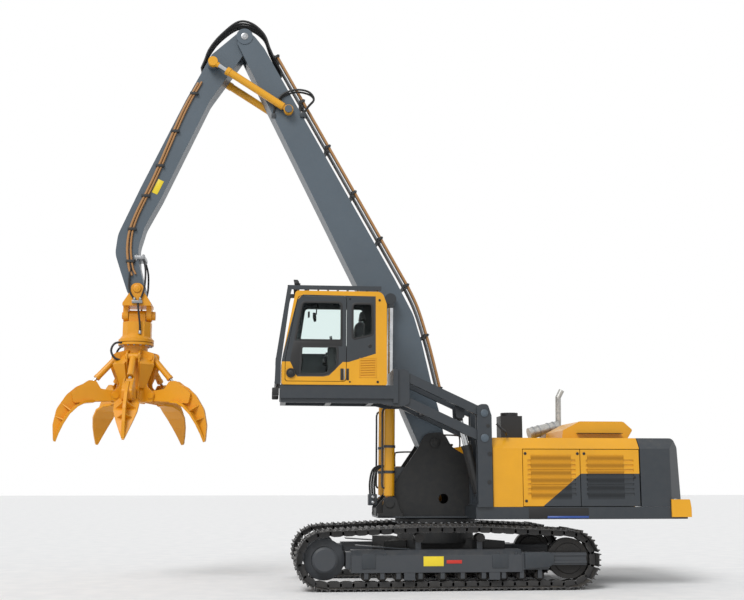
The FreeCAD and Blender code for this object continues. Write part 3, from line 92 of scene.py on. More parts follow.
# %% [markdown]
# ## Camera
# A machine ten metres tall is photographed from about twenty metres, with the lens near eye height and
# tilted up.
# The tilt makes uprights lean together a little, which is why it is copied rather than straightened.

# %% Camera
CAMERA_FROM_SLEW = (-2.92, -19.5, 1.69)
CAMERA_PAN, CAMERA_TILT = 5.3, 9.5
FOCAL_PIXELS, PICTURE_WIDTH = 1100, 744
SENSOR_WIDTH = 36

camera_data = bpy.data.cameras.new("camera")
camera_data.sensor_width = SENSOR_WIDTH
camera_data.lens = FOCAL_PIXELS / PICTURE_WIDTH * SENSOR_WIDTH
camera_data.clip_end = 400
camera = bpy.data.objects.new("camera", camera_data)
camera.location = at(*CAMERA_FROM_SLEW)
camera.rotation_euler = (math.radians(90 + CAMERA_TILT), 0, math.radians(-CAMERA_PAN))
bpy.context.scene.collection.objects.link(camera)
bpy.context.scene.camera = camera
print("lens {:.1f} mm".format(camera_data.lens))

# %% [markdown]
# ## Light, floor and background
# Paint is judged in soft, plain light. A broad sun lamp shapes the forms and an even sky fills the
# shadows, at
# levels where a white card comes out just under white. The sky shows itself pale to the camera and to glossy
# metal, so that chrome has something bright to mirror.

# %% World and lamp
SKY_COLOUR = (1, 1, 1, 1)
SKY_FILL = 0.52
SUN_STRENGTH, SUN_SPREAD = 1.9, 25
SUN_FROM = Vector((-0.45, -0.8, 0.85))

scene = bpy.context.scene
scene.view_settings.view_transform = "Standard"
world = bpy.data.worlds.new("studio_sky")
scene.world = world
world.use_nodes = True
sky = world.node_tree
sky.nodes.clear()
fill = sky.nodes.new("ShaderNodeBackground")
fill.inputs["Color"].default_value = SKY_COLOUR
fill.inputs["Strength"].default_value = SKY_FILL
shown = sky.nodes.new("ShaderNodeBackground")
shown.inputs["Color"].default_value = SKY_COLOUR
light_path = sky.nodes.new("ShaderNodeLightPath")
seen = sky.nodes.new("ShaderNodeMath")
seen.operation = "MAXIMUM"
seen_too = sky.nodes.new("ShaderNodeMath")
seen_too.operation = "MAXIMUM"
sky_mix = sky.nodes.new("ShaderNodeMixShader")
sky_out = sky.nodes.new("ShaderNodeOutputWorld")
sky.links.new(light_path.outputs["Is Camera Ray"], seen.inputs[0])
sky.links.new(light_path.outputs["Is Glossy Ray"], seen.inputs[1])
sky.links.new(seen.outputs[0], seen_too.inputs[0])
sky.links.new(light_path.outputs["Is Transmission Ray"], seen_too.inputs[1])
sky.links.new(seen_too.outputs[0], sky_mix.inputs[0])
sky.links.new(fill.outputs[0], sky_mix.inputs[1])
sky.links.new(shown.outputs[0], sky_mix.inputs[2])
sky.links.new(sky_mix.outputs[0], sky_out.inputs["Surface"])

sun_data = bpy.data.lights.new("sun", "SUN")
sun_data.energy = SUN_STRENGTH
sun_data.angle = math.radians(SUN_SPREAD)
sun = bpy.data.objects.new("sun", sun_data)
sun.rotation_euler = SUN_FROM.to_track_quat("Z", "Y").to_euler()
scene.collection.objects.link(sun)
print("sky and sun are set")

# %% [markdown]
# ## Shader helpers
# A material is a small graph. These helpers keep the graphs short: one adds a node and fills its sockets, one
# turns a colour as a paint chart gives it into the linear values that the renderer works with.

# %% Shader helpers


def linear(red, green, blue):
    """A colour from 0 to 255 as linear values with full alpha."""
    def one(value):
        share = value / 255
        return share / 12.92 if share <= 0.04045 else ((share + 0.055) / 1.055) ** 2.4
    return one(red), one(green), one(blue), 1.0


def add_node(tree, kind, settings=None, **inputs):
    """Adds a node. Settings are its properties; inputs are values or sockets by input name."""
    node = tree.nodes.new(kind)
    for name, value in (settings or {}).items():
        setattr(node, name, value)
    for name, value in inputs.items():
        socket = node.inputs[int(name[1:])] if name[0] == "i" and name[1:].isdigit() else \
            node.inputs[name.replace("_", " ")]
        if isinstance(value, bpy.types.NodeSocket):
            tree.links.new(value, socket)
        else:
            socket.default_value = value
    return node


def new_group(name, inputs, outputs):
    """An empty shader group with named sockets. Each is a name, a kind and a value."""
    group = bpy.data.node_groups.new(name, "ShaderNodeTree")
    for label, kind, value in inputs:
        socket = group.interface.new_socket(name=label, in_out="INPUT", socket_type="NodeSocket" + kind)
        socket.default_value = value
    for label, kind in outputs:
        group.interface.new_socket(name=label, in_out="OUTPUT", socket_type="NodeSocket" + kind)
    return group, group.nodes.new("NodeGroupInput").outputs, group.nodes.new("NodeGroupOutput").inputs


print("helpers ready")

# %% [markdown]
# ## Effects that finishes share
# Painted steel outdoors shows three things: a faint unevenness of tone, dust that settles on faces that
# look up,
# and bright or dark rubbing along sharp edges. Each is a group, so that every paint gets it at its own
# strength.
# The edge rubbing compares the true surface direction with one that is rounded over a few millimetres:
# they differ
# only near an edge.

# %% Weathered paint
weathering, given, result = new_group(
    "weathered_paint",
    [("Paint", "Color", (0.5, 0.5, 0.5, 1)), ("Dust", "Color", linear(150, 140, 124)),
     ("Rubbed", "Color", linear(96, 94, 90)), ("Dust Amount", "Float", 0.3), ("Wear Amount", "Float", 0.3),
     ("Edge Width", "Float", 0.008), ("Gloss Roughness", "Float", 0.34), ("Patch Scale", "Float", 1.3)],
    [("Colour", "Color"), ("Roughness", "Float"), ("Normal", "Vector")])
coords = add_node(weathering, "ShaderNodeTexCoord")
patches = add_node(weathering, "ShaderNodeTexNoise", Vector=coords.outputs["Object"],
                   Scale=given["Patch Scale"],
                   Detail=4.0, Roughness=0.6)
patch_tone = add_node(weathering, "ShaderNodeMapRange", Value=patches.outputs["Fac"], From_Min=0.3,
                      From_Max=0.7,
                      To_Min=0.93, To_Max=1.06)
toned = add_node(weathering, "ShaderNodeVectorMath", {"operation": "SCALE"}, i0=given["Paint"],
                 Scale=patch_tone.outputs["Result"])
surface = add_node(weathering, "ShaderNodeNewGeometry")
upward = add_node(weathering, "ShaderNodeSeparateXYZ", Vector=surface.outputs["Normal"])
looks_up = add_node(weathering, "ShaderNodeMapRange", Value=upward.outputs["Z"], From_Min=0.25, From_Max=0.95)
specks = add_node(weathering, "ShaderNodeTexNoise", Vector=coords.outputs["Object"], Scale=9.0, Detail=8.0)
speck_share = add_node(weathering, "ShaderNodeMapRange", Value=specks.outputs["Fac"], From_Min=0.35,
                       From_Max=0.75)
settled = add_node(weathering, "ShaderNodeMath", {"operation": "MULTIPLY_ADD"}, i0=looks_up.outputs["Result"],
                   i1=0.75, i2=0.18)
dusty = add_node(weathering, "ShaderNodeMath", {"operation": "MULTIPLY"}, i0=settled.outputs[0],
                 i1=speck_share.outputs["Result"])
dust_share = add_node(weathering, "ShaderNodeMath", {"operation": "MULTIPLY", "use_clamp": True},
                      i0=dusty.outputs[0], i1=given["Dust Amount"])
rounded = add_node(weathering, "ShaderNodeBevel", {"samples": 4}, Radius=given["Edge Width"])
bent = add_node(weathering, "ShaderNodeVectorMath", {"operation": "DOT_PRODUCT"},
                i0=rounded.outputs["Normal"],
                i1=surface.outputs["Normal"])
edge = add_node(weathering, "ShaderNodeMapRange", Value=bent.outputs["Value"], From_Min=0.97, From_Max=0.78)
chips = add_node(weathering, "ShaderNodeTexNoise", Vector=coords.outputs["Object"], Scale=17.0, Detail=6.0,
                 Roughness=0.7)
chip_share = add_node(weathering, "ShaderNodeMapRange", Value=chips.outputs["Fac"], From_Min=0.48,
                      From_Max=0.6)
rubbing = add_node(weathering, "ShaderNodeMath", {"operation": "MULTIPLY"}, i0=edge.outputs["Result"],
                   i1=chip_share.outputs["Result"])
rub_share = add_node(weathering, "ShaderNodeMath", {"operation": "MULTIPLY", "use_clamp": True},
                     i0=rubbing.outputs[0], i1=given["Wear Amount"])
with_dust = add_node(weathering, "ShaderNodeMix", {"data_type": "RGBA"}, i0=dust_share.outputs[0],
                     i6=toned.outputs[0], i7=given["Dust"])
with_rub = add_node(weathering, "ShaderNodeMix", {"data_type": "RGBA"}, i0=rub_share.outputs[0],
                    i6=with_dust.outputs[2], i7=given["Rubbed"])
matte = add_node(weathering, "ShaderNodeMath", {"operation": "MULTIPLY_ADD"}, i0=dust_share.outputs[0],
                 i1=0.5,
                 i2=given["Gloss Roughness"])
peel = add_node(weathering, "ShaderNodeTexNoise", Vector=coords.outputs["Object"], Scale=120.0, Detail=2.0)
peel_bump = add_node(weathering, "ShaderNodeBump", Height=peel.outputs["Fac"], Strength=0.05, Distance=0.002,
                     Normal=rounded.outputs["Normal"])
weathering.links.new(with_rub.outputs[2], result["Colour"])
weathering.links.new(matte.outputs[0], result["Roughness"])
weathering.links.new(peel_bump.outputs["Normal"], result["Normal"])
print("weathering group:", len(weathering.nodes), "nodes")

# %% [markdown]
# The second shared effect is a grain: fine, even unevenness for castings, rubber and moulded plastic,
# with a tone
# that follows the bumps.

# %% Grain
graining, given, result = new_group(
    "grain",
    [("Low Colour", "Color", (0.02, 0.02, 0.02, 1)), ("High Colour", "Color", (0.05, 0.05, 0.05, 1)),
     ("Scale", "Float", 60.0), ("Depth", "Float", 0.001), ("Roughness Low", "Float", 0.5),
     ("Roughness High", "Float", 0.75)],
    [("Colour", "Color"), ("Roughness", "Float"), ("Normal", "Vector")])
coords = add_node(graining, "ShaderNodeTexCoord")
fine = add_node(graining, "ShaderNodeTexNoise", Vector=coords.outputs["Object"], Scale=given["Scale"],
                Detail=6.0)
broad = add_node(graining, "ShaderNodeTexNoise", Vector=coords.outputs["Object"], Scale=2.2, Detail=3.0)
both = add_node(graining, "ShaderNodeMath", {"operation": "MULTIPLY"}, i0=fine.outputs["Fac"],
                i1=broad.outputs["Fac"])
spread = add_node(graining, "ShaderNodeMapRange", Value=both.outputs[0], From_Min=0.12, From_Max=0.4)
tone = add_node(graining, "ShaderNodeMix", {"data_type": "RGBA"}, i0=spread.outputs["Result"],
                i6=given["Low Colour"], i7=given["High Colour"])
rough = add_node(graining, "ShaderNodeMapRange", Value=spread.outputs["Result"],
                 To_Min=given["Roughness Low"],
                 To_Max=given["Roughness High"])
relief = add_node(graining, "ShaderNodeBump", Height=fine.outputs["Fac"], Strength=0.35,
                  Distance=given["Depth"])
graining.links.new(tone.outputs[2], result["Colour"])
graining.links.new(rough.outputs["Result"], result["Roughness"])
graining.links.new(relief.outputs["Normal"], result["Normal"])
print("grain group:", len(graining.nodes), "nodes")

# %% [markdown]
# ## Finishes
# The machine wears two-pack paint in three colours: slate on boom and stick, a darker slate on the
# cab's frame and
# the tail, and a warm yellow on the panels, cylinders and grab. Each material places a shared group and
# keeps its
# own shader, where gloss and clear coat are set.

# %% Material makers


def finish(name, group, group_values, shader_values=None, coat=0.0):
    """A material that takes colour, roughness and surface direction from a shared group."""
    material = bpy.data.materials.new(name)
    material.use_nodes = True
    tree = material.node_tree
    shader = tree.nodes["Principled BSDF"]
    effect = tree.nodes.new("ShaderNodeGroup")
    effect.node_tree = group
    for label, value in group_values.items():
        effect.inputs[label].default_value = value
    tree.links.new(effect.outputs["Colour"], shader.inputs["Base Color"])
    tree.links.new(effect.outputs["Roughness"], shader.inputs["Roughness"])
    tree.links.new(effect.outputs["Normal"], shader.inputs["Normal"])
    shader.inputs["Coat Weight"].default_value = coat
    shader.inputs["Coat Roughness"].default_value = 0.12
    for label, value in (shader_values or {}).items():
        shader.inputs[label].default_value = value
    material.diffuse_color = shader.inputs["Base Color"].default_value
    return material


def paint(name, colour, dust=0.3, wear=0.3, rubbed=(96, 94, 90), gloss=0.4, coat=0.08):
    """A weathered machine paint."""
    values = {"Paint": linear(*colour), "Dust Amount": dust, "Wear Amount": wear, "Rubbed": linear(*rubbed),
              "Gloss Roughness": gloss}
    return finish(name, weathering, values, coat=coat)


def grainy(name, low, high, scale, depth, rough, **shader_values):
    """A cast, rubber or moulded finish."""
    values = {"Low Colour": linear(*low), "High Colour": linear(*high), "Scale": scale, "Depth": depth,
              "Roughness Low": rough[0], "Roughness High": rough[1]}
    return finish(name, graining, values, {k.replace("_", " "): v for k, v in shader_values.items()})


# %% Paints
slate_paint = paint("slate_paint", (76, 88, 98), dust=0.1, wear=0.25, rubbed=(130, 136, 142))
dark_paint = paint("dark_paint", (42, 48, 54), dust=0.12, wear=0.3, rubbed=(96, 100, 104))
black_paint = paint("black_paint", (21, 23, 25), dust=0.2, wear=0.3, rubbed=(70, 70, 70), gloss=0.55,
                    coat=0.02)
yellow_paint = paint("yellow_paint", (222, 158, 10), dust=0.06, wear=0.2, rubbed=(140, 104, 50), gloss=0.36,
                     coat=0.15)
grab_paint = paint("grab_paint", (222, 150, 6), dust=0.08, wear=0.5, rubbed=(112, 92, 66), gloss=0.42,
                   coat=0.08)
brown_paint = paint("brown_pipe_paint", (168, 122, 72), dust=0.2, wear=0.3, gloss=0.42, coat=0.1)
grey_paint = paint("grey_paint", (120, 124, 128), dust=0.25, wear=0.3, gloss=0.4)
red_paint = paint("red_paint", (196, 44, 32), dust=0.15, wear=0.25)
blue_paint = paint("blue_paint", (38, 74, 150), dust=0.1, wear=0.15)
plate_paint = paint("blank_plate", (232, 206, 40), dust=0.1, wear=0.1)
print("paints:", len([m for m in bpy.data.materials if "paint" in m.name]))

# %% Castings, rubber, plastic and metal
track_steel = grainy("track_steel", (24, 24, 25), (62, 60, 58), 70.0, 0.0012, (0.42, 0.62), Metallic=0.55)
cast_iron = grainy("cast_iron", (46, 50, 52), (86, 90, 92), 50.0, 0.0015, (0.5, 0.7), Metallic=0.3)
rubber = grainy("hose_rubber", (16, 16, 17), (34, 34, 35), 140.0, 0.0004, (0.5, 0.66))
plastic = grainy("moulded_plastic", (30, 31, 32), (52, 53, 54), 220.0, 0.0003, (0.45, 0.6))
black_plastic = grainy("black_plastic", (14, 14, 15), (28, 28, 29), 200.0, 0.0003, (0.42, 0.58))
chrome = grainy("hard_chrome", (178, 180, 182), (206, 208, 210), 14.0, 0.0001, (0.1, 0.2), Metallic=1.0)
muffler_steel = grainy("aluminised_sheet", (150, 150, 148), (196, 195, 190), 26.0, 0.0005, (0.32, 0.46),
                       Metallic=0.75)
zinc = grainy("zinc_plate", (128, 130, 132), (176, 178, 180), 60.0, 0.0002, (0.3, 0.42), Metallic=0.85)
print("other finishes ready")

# %% [markdown]
# Glass is thin, lightly tinted and needs no pattern in its tint; its faint unevenness is only in the surface
# direction. A padded seat wears woven cloth: two crossed waves make threads that pass over and under.

# %% Glass, cloth and lenses
glass = bpy.data.materials.new("cab_glass")
glass.use_nodes = True
pane = glass.node_tree.nodes["Principled BSDF"]
for label, value in (("Base Color", (0.86, 0.93, 0.92, 1)), ("Roughness", 0.03), ("Transmission Weight", 1.0),
                     ("IOR", 1.12)):
    pane.inputs[label].default_value = value
pane_coords = add_node(glass.node_tree, "ShaderNodeTexCoord")
ripple = add_node(glass.node_tree, "ShaderNodeTexNoise", Vector=pane_coords.outputs["Object"], Scale=3.0)
add_bump = add_node(glass.node_tree, "ShaderNodeBump", Height=ripple.outputs["Fac"], Strength=0.02,
                    Distance=0.002)
glass.node_tree.links.new(add_bump.outputs["Normal"], pane.inputs["Normal"])

weaving, given, result = new_group(
    "weave",
    [("Low Colour", "Color", (0.01, 0.01, 0.012, 1)), ("High Colour", "Color", (0.05, 0.05, 0.055, 1)),
     ("Threads", "Float", 260.0)],
    [("Colour", "Color"), ("Roughness", "Float"), ("Normal", "Vector")])
coords = add_node(weaving, "ShaderNodeTexCoord")
waves = [add_node(weaving, "ShaderNodeTexWave", {"bands_direction": axis}, Vector=coords.outputs["Object"],
                  Scale=given["Threads"], Distortion=0.6) for axis in ("Y", "Z")]
crossed = add_node(weaving, "ShaderNodeMath", {"operation": "MAXIMUM"}, i0=waves[0].outputs["Fac"],
                   i1=waves[1].outputs["Fac"])
thread_tone = add_node(weaving, "ShaderNodeMix", {"data_type": "RGBA"}, i0=crossed.outputs[0],
                       i6=given["Low Colour"], i7=given["High Colour"])
thread_rough = add_node(weaving, "ShaderNodeMapRange", Value=crossed.outputs[0], To_Min=0.95, To_Max=0.8)
thread_bump = add_node(weaving, "ShaderNodeBump", Height=crossed.outputs[0], Strength=0.4, Distance=0.001)
weaving.links.new(thread_tone.outputs[2], result["Colour"])
weaving.links.new(thread_rough.outputs["Result"], result["Roughness"])
weaving.links.new(thread_bump.outputs["Normal"], result["Normal"])
seat_cloth = finish("seat_cloth", weaving, {}, {"Sheen Weight": 0.3})
print("glass and cloth ready")

# %% [markdown]
# Every node of the frame now takes its finish. The table names the few that differ from the paint their
# material
# slot suggests; the others follow their slot.

# %% Finishes on the frame
SLOT_FINISH = {
    "slate_paint": slate_paint, "dark_paint": dark_paint, "black_paint": black_paint,
    "yellow_paint": yellow_paint,
    "track_steel": track_steel, "chrome_rod": chrome, "muffler_steel": muffler_steel, "cast_block": cast_iron,
    "clear_glass": glass, "seat_cloth": seat_cloth, "cab_plastic": plastic, "black_plastic": black_plastic,
}
GRAB_NODES = ("hanger", "grab_head", "grab_hub", "tine_")
for part in frame["record"]["subparts"]:
    node, slot = part["node"], part["material_slot"]
    material = SLOT_FINISH[slot]
    if slot == "yellow_paint" and node.startswith(GRAB_NODES):
        material = grab_paint
    mesh = frame["nodes"][node].data
    mesh.materials.clear()
    mesh.materials.append(material)
print("finished", len(frame["nodes"]), "nodes")

# %% [markdown]
# ## Two-colour panels
# The side panels wear two colours that meet on straight, slanted lines. A sharp line between paints needs no
# picture: each colour's field is a convex outline in the side view, and a point lies inside when it is
# on the inner
# side of every edge. The tests read Object coordinates, so the line stays on the panel when a door opens.

# %% Paint fields


def half_space(tree, place, direction, limit):
    """A mask that is 1 where a place lies further along a direction than a limit."""
    along = add_node(tree, "ShaderNodeVectorMath", {"operation": "DOT_PRODUCT"}, i0=place,
                     i1=tuple(direction))
    beyond = add_node(tree, "ShaderNodeMath", {"operation": "GREATER_THAN"}, i0=along.outputs["Value"],
                      i1=limit)
    return beyond.outputs[0]


def joined(tree, masks, operation):
    """Several masks as one: MINIMUM where all must hold, MAXIMUM where one is enough."""
    result = masks[0]
    for mask in masks[1:]:
        result = add_node(tree, "ShaderNodeMath", {"operation": operation}, i0=result, i1=mask).outputs[0]
    return result


def field(tree, place, corners):
    """A mask that is 1 inside a convex outline of (x, z) corners in the side view."""
    pairs = list(zip(corners, corners[1:] + corners[:1]))
    area = sum(a[0] * b[1] - b[0] * a[1] for a, b in pairs)
    turn = math.copysign(1, area)
    masks = []
    for (x0, z0), (x1, z1) in pairs:
        inward = Vector(((z0 - z1) * turn, 0, (x1 - x0) * turn)).normalized()
        masks.append(half_space(tree, place, inward, inward.dot(at(x0, 0, z0))))
    return joined(tree, masks, "MINIMUM")


def room(tree, place, low, high):
    """A mask that is 1 inside an upright box."""
    masks = []
    for axis in range(3):
        direction = Vector([float(axis == i) for i in range(3)])
        masks.append(half_space(tree, place, direction, at(*low)[axis]))
        masks.append(half_space(tree, place, -direction, -at(*high)[axis]))
    return joined(tree, masks, "MINIMUM")


def two_tone(name, first, second, fields=(), rooms=(), **looks):
    """A weathered paint with a second colour inside the given fields and rooms."""
    material = paint(name, first, **looks)
    tree = material.node_tree
    effect = next(node for node in tree.nodes if node.type == "GROUP")
    place = add_node(tree, "ShaderNodeTexCoord").outputs["Object"]
    masks = [field(tree, place, corners) for corners in fields] + [room(tree, place, *box) for box in rooms]
    mixed = add_node(tree, "ShaderNodeMix", {"data_type": "RGBA"}, i0=joined(tree, masks, "MAXIMUM"),
                     i6=linear(*first), i7=linear(*second))
    tree.links.new(mixed.outputs[2], effect.inputs["Paint"])
    return material


YELLOW, DARK = (222, 158, 10), (42, 48, 54)
# The dark wedge that runs from the housing's sill to the tail.
TAIL_FIELD = [(1.567, 1.31), (2.24, 1.861), (3.30, 1.861), (3.30, 1.31)]
housing_paint = two_tone("housing_paint", YELLOW, DARK, [TAIL_FIELD], dust=0.06, wear=0.2,
                         rubbed=(140, 104, 50),
                         gloss=0.36, coat=0.15)
# The cab's side: the slate field round its windows, in a tall and a low part.
WINDOW_FIELD = [(-2.748, 3.668), (-1.64, 3.668), (-1.191, 3.811), (-1.191, 4.77), (-2.40, 4.783),
                (-2.498, 4.689)]
LOW_FIELD = [(-2.60, 3.67), (-2.482, 3.424), (-2.05, 3.426), (-1.95, 3.448), (-1.865, 3.496), (-1.80, 3.565),
             (-1.745, 3.66), (-1.735, 3.67)]
CAB_ROOM = ((-2.70, -1.487, 3.34), (-1.055, -0.67, 4.80))
cab_paint = two_tone("cab_paint", YELLOW, (40, 46, 51), [WINDOW_FIELD, LOW_FIELD], [CAB_ROOM],
                     dust=0.06, wear=0.15,
                     rubbed=(120, 100, 60), gloss=0.34, coat=0.15)
print("two-colour paints: housing and cab")

# %% [markdown]
# ## Rods and their eyes
# A cylinder's rod is hard chrome, but the eye forged to its end is painted. Both belong to one solid, so one
# material changes over where the eye begins.

# %% Rod finishes


def rod_finish(name, eye, direction, before_eye, colour):
    """Chrome that turns to paint a little before the rod's eye."""
    material = grainy(name, (178, 180, 182), (206, 208, 210), 14.0, 0.0001, (0.1, 0.2))
    tree = material.node_tree
    shader, effect = tree.nodes["Principled BSDF"], next(node for node in tree.nodes if node.type == "GROUP")
    place = add_node(tree, "ShaderNodeTexCoord").outputs["Object"]
    way = Vector(direction).normalized()
    painted = half_space(tree, place, way, way.dot(at(*eye)) - before_eye)
    tone = add_node(tree, "ShaderNodeMix", {"data_type": "RGBA"}, i0=painted, i6=effect.outputs["Colour"],
                    i7=linear(*colour))
    metal = add_node(tree, "ShaderNodeMath", {"operation": "SUBTRACT"}, i0=1.0, i1=painted)
    rough = add_node(tree, "ShaderNodeMath", {"operation": "MULTIPLY_ADD"}, i0=painted, i1=0.25,
                     i2=effect.outputs["Roughness"])
    tree.links.new(tone.outputs[2], shader.inputs["Base Color"])
    tree.links.new(metal.outputs[0], shader.inputs["Metallic"])
    tree.links.new(rough.outputs[0], shader.inputs["Roughness"])
    return material


# Node, eye, way from barrel to eye, how far before the eye's middle the paint begins, colour.
ROD_EYES = [
    ("boom_ram_rods", (-0.832, 0, 4.9), (-0.033, 0, 1), 0.16, (40, 45, 50)),
    ("stick_ram_rods", (-4.037, 0, 9.236), (-1.374, 0, 0.869), 0.13, YELLOW),
    ("lift_rods", (0.262, 0, 2.835), (-0.323, 0, 1.355), 0.1, (21, 23, 25)),
]
frame_paint = paint("frame_paint", (54, 58, 63), dust=0.12, wear=0.3, rubbed=(96, 92, 86), gloss=0.5)
NODE_FINISH = {"housing": housing_paint, "cab_shell": cab_paint, "cab_door": cab_paint,
               "track_frame_left": frame_paint, "track_frame_right": frame_paint, "sprockets": frame_paint}
for node, eye, direction, before_eye, colour in ROD_EYES:
    NODE_FINISH[node] = rod_finish(node + "_finish", eye, direction, before_eye, colour)
tine_rod_finish = rod_finish("tine_rod_finish", (0, 0, 3.385), (0, 0, -1), 0.06, (222, 150, 6))
for side in ("left", "right"):
    for end in ("front", "rear"):
        NODE_FINISH["door_{}_{}".format(side, end)] = housing_paint
for number in range(1, 6):
    NODE_FINISH["tine_rod_{}".format(number)] = tine_rod_finish
for node, material in NODE_FINISH.items():
    frame["nodes"][node].data.materials[0] = material
print("own finishes on", len(NODE_FINISH), "nodes")

# %% [markdown]
# ## Makers of small pieces
# Most added pieces are plates with eased edges, turned parts, or pipes that follow a line. Each maker
# adds one solid
# to a shared mesh; a last call turns the mesh into a piece that rides on its body. Places are given
# from the slew
# axis.

# %% Solids for a mesh


def add_prism(bm, outline, near, far, edge=0.003):
    """A plate: a side outline of (x, z) carried from y = near to y = far, with eased edges."""
    first = [bm.verts.new(at(x, near, z)) for x, z in outline]
    last = [bm.verts.new(at(x, far, z)) for x, z in outline]
    count = len(outline)
    faces = [bm.faces.new(first), bm.faces.new(last[::-1])]
    for i in range(count):
        j = (i + 1) % count
        faces.append(bm.faces.new((first[j], first[i], last[i], last[j])))
    if edge:
        edges = list({e for face in faces for e in face.edges})
        bmesh.ops.bevel(bm, geom=edges, offset=edge, segments=2, profile=0.6, affect="EDGES",
                        clamp_overlap=True)


def add_box(bm, low, high, edge=0.003):
    """An upright box with eased edges, from its lowest to its highest corner."""
    outline = [(low[0], low[2]), (high[0], low[2]), (high[0], high[2]), (low[0], high[2])]
    add_prism(bm, outline, low[1], high[1], edge)


def add_rings(bm, rings, closed=False):
    """Joins rings of points into a closed skin, with its ends filled."""
    loops = [[bm.verts.new(point) for point in ring] for ring in rings]
    count = len(rings[0])
    pairs = list(zip(loops, loops[1:] + loops[:1])) if closed else list(zip(loops, loops[1:]))
    for here, there in pairs:
        for i in range(count):
            j = (i + 1) % count
            bm.faces.new((here[i], here[j], there[j], there[i]))
    if not closed:
        bm.faces.new(loops[0][::-1])
        bm.faces.new(loops[-1])


def add_lathe(bm, profile, centre, axis, steps=24, hollow=False):
    """A turned part: (distance along the axis, radius) pairs carried round the axis, closed to a band
    if hollow."""
    way = Vector(axis).normalized()
    across = way.orthogonal().normalized()
    other = way.cross(across)
    rings = []
    for along, radius in profile:
        middle = at(*centre) + way * along
        rings.append([middle + (across * math.cos(a) + other * math.sin(a)) * radius
                      for a in (2 * math.pi * i / steps for i in range(steps))])
    add_rings(bm, rings, hollow)


def smooth_path(points, steps=6):
    """A smooth line through the points, as places in the frame."""
    places = [at(*point) for point in points]
    padded = [places[0] * 2 - places[1]] + places + [places[-1] * 2 - places[-2]]
    line = []
    for a, b, c, d in zip(padded, padded[1:], padded[2:], padded[3:]):
        for i in range(steps):
            t = i / steps
            line.append(0.5 * ((2 * b) + (c - a) * t + (2 * a - 5 * b + 4 * c - d) * t * t +
                               (3 * b - 3 * c + d - a) * t * t * t))
    return line + [places[-1]]


def add_pipe(bm, line, radius, sides=10):
    """A round pipe along a line of places."""
    across = (line[1] - line[0]).orthogonal().normalized()
    rings = []
    for i, middle in enumerate(line):
        way = (line[min(i + 1, len(line) - 1)] - line[max(i - 1, 0)]).normalized()
        across = (across - way * across.dot(way)).normalized()
        other = way.cross(across)
        rings.append([middle + (across * math.cos(a) + other * math.sin(a)) * radius
                      for a in (2 * math.pi * j / sides for j in range(sides))])
    add_rings(bm, rings)


def dress(name, mesh, body, material):
    """Turns a mesh into a piece with a finish that rides on a body."""
    mesh.polygons.foreach_set("use_smooth", [True] * len(mesh.polygons))
    mesh.set_sharp_from_angle(angle=math.radians(38))
    mesh.materials.clear()
    mesh.materials.append(material)
    piece = bpy.data.objects.new(name, mesh)
    scene.collection.objects.link(piece)
    if body:
        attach(piece, body)
    return piece


def close(bm, name, body, material):
    """Ends a shared mesh: faces point outwards, and the piece rides on its body."""
    bmesh.ops.recalc_face_normals(bm, faces=bm.faces)
    mesh = bpy.data.meshes.new(name)
    bm.to_mesh(mesh)
    bm.free()
    return dress(name, mesh, body, material)


print("makers ready")

# %% [markdown]
# Things that repeat are grown by geometry trees, because a tree states the rule once: so many copies,
# so far apart,
# of this size. Each tree ends by making its copies real, so that the result is one plain mesh.

# %% Trees for what repeats


def new_tree(name, inputs):
    """An empty geometry tree with named inputs. Each is a name, a kind and a value."""
    tree = bpy.data.node_groups.new(name, "GeometryNodeTree")
    tree.interface.new_socket(name="Geometry", in_out="INPUT", socket_type="NodeSocketGeometry")
    for label, kind, value in inputs:
        socket = tree.interface.new_socket(name=label, in_out="INPUT", socket_type="NodeSocket" + kind)
        if value is not None:
            socket.default_value = value
    tree.interface.new_socket(name="Geometry", in_out="OUTPUT", socket_type="NodeSocketGeometry")
    return tree, tree.nodes.new("NodeGroupInput").outputs, tree.nodes.new("NodeGroupOutput").inputs


def end_tree(tree, given, result, copies):
    """Makes copies real and gives them their finish."""
    real = add_node(tree, "GeometryNodeRealizeInstances", Geometry=copies)
    coated = add_node(tree, "GeometryNodeSetMaterial", Geometry=real.outputs["Geometry"],
                      Material=given["Finish"])
    tree.links.new(coated.outputs["Geometry"], result["Geometry"])


def grow(tree, start=None, **values):
    """Runs a geometry tree and returns what it makes as a plain mesh."""
    holder = bpy.data.objects.new(tree.name, start or bpy.data.meshes.new(tree.name))
    scene.collection.objects.link(holder)
    modifier = holder.modifiers.new(tree.name, "NODES")
    modifier.node_group = tree
    for item in tree.interface.items_tree:
        label = item.name.replace(" ", "_")
        if item.in_out == "INPUT" and label in values:
            modifier[item.identifier] = values[label]
    graph = bpy.context.evaluated_depsgraph_get()
    mesh = bpy.data.meshes.new_from_object(holder.evaluated_get(graph))
    bpy.data.objects.remove(holder)
    return mesh


along_tree, given, result = new_tree("copies_along_path", [("Copies", "Int", 10), ("Part", "Object", None),
                                                           ("Finish", "Material", None)])
run = add_node(along_tree, "GeometryNodeMeshToCurve", Mesh=given["Geometry"])
spaced = add_node(along_tree, "GeometryNodeResampleCurve", Curve=run.outputs["Curve"], Count=given["Copies"])
way = add_node(along_tree, "GeometryNodeInputTangent")
turned = add_node(along_tree, "FunctionNodeAlignRotationToVector", {"axis": "X", "pivot_axis": "Y"},
                  Vector=way.outputs["Tangent"])
part_info = add_node(along_tree, "GeometryNodeObjectInfo", Object=given["Part"])
copies = add_node(along_tree, "GeometryNodeInstanceOnPoints", Points=spaced.outputs["Curve"],
                  Instance=part_info.outputs["Geometry"], Rotation=turned.outputs["Rotation"])
end_tree(along_tree, given, result, copies.outputs["Instances"])

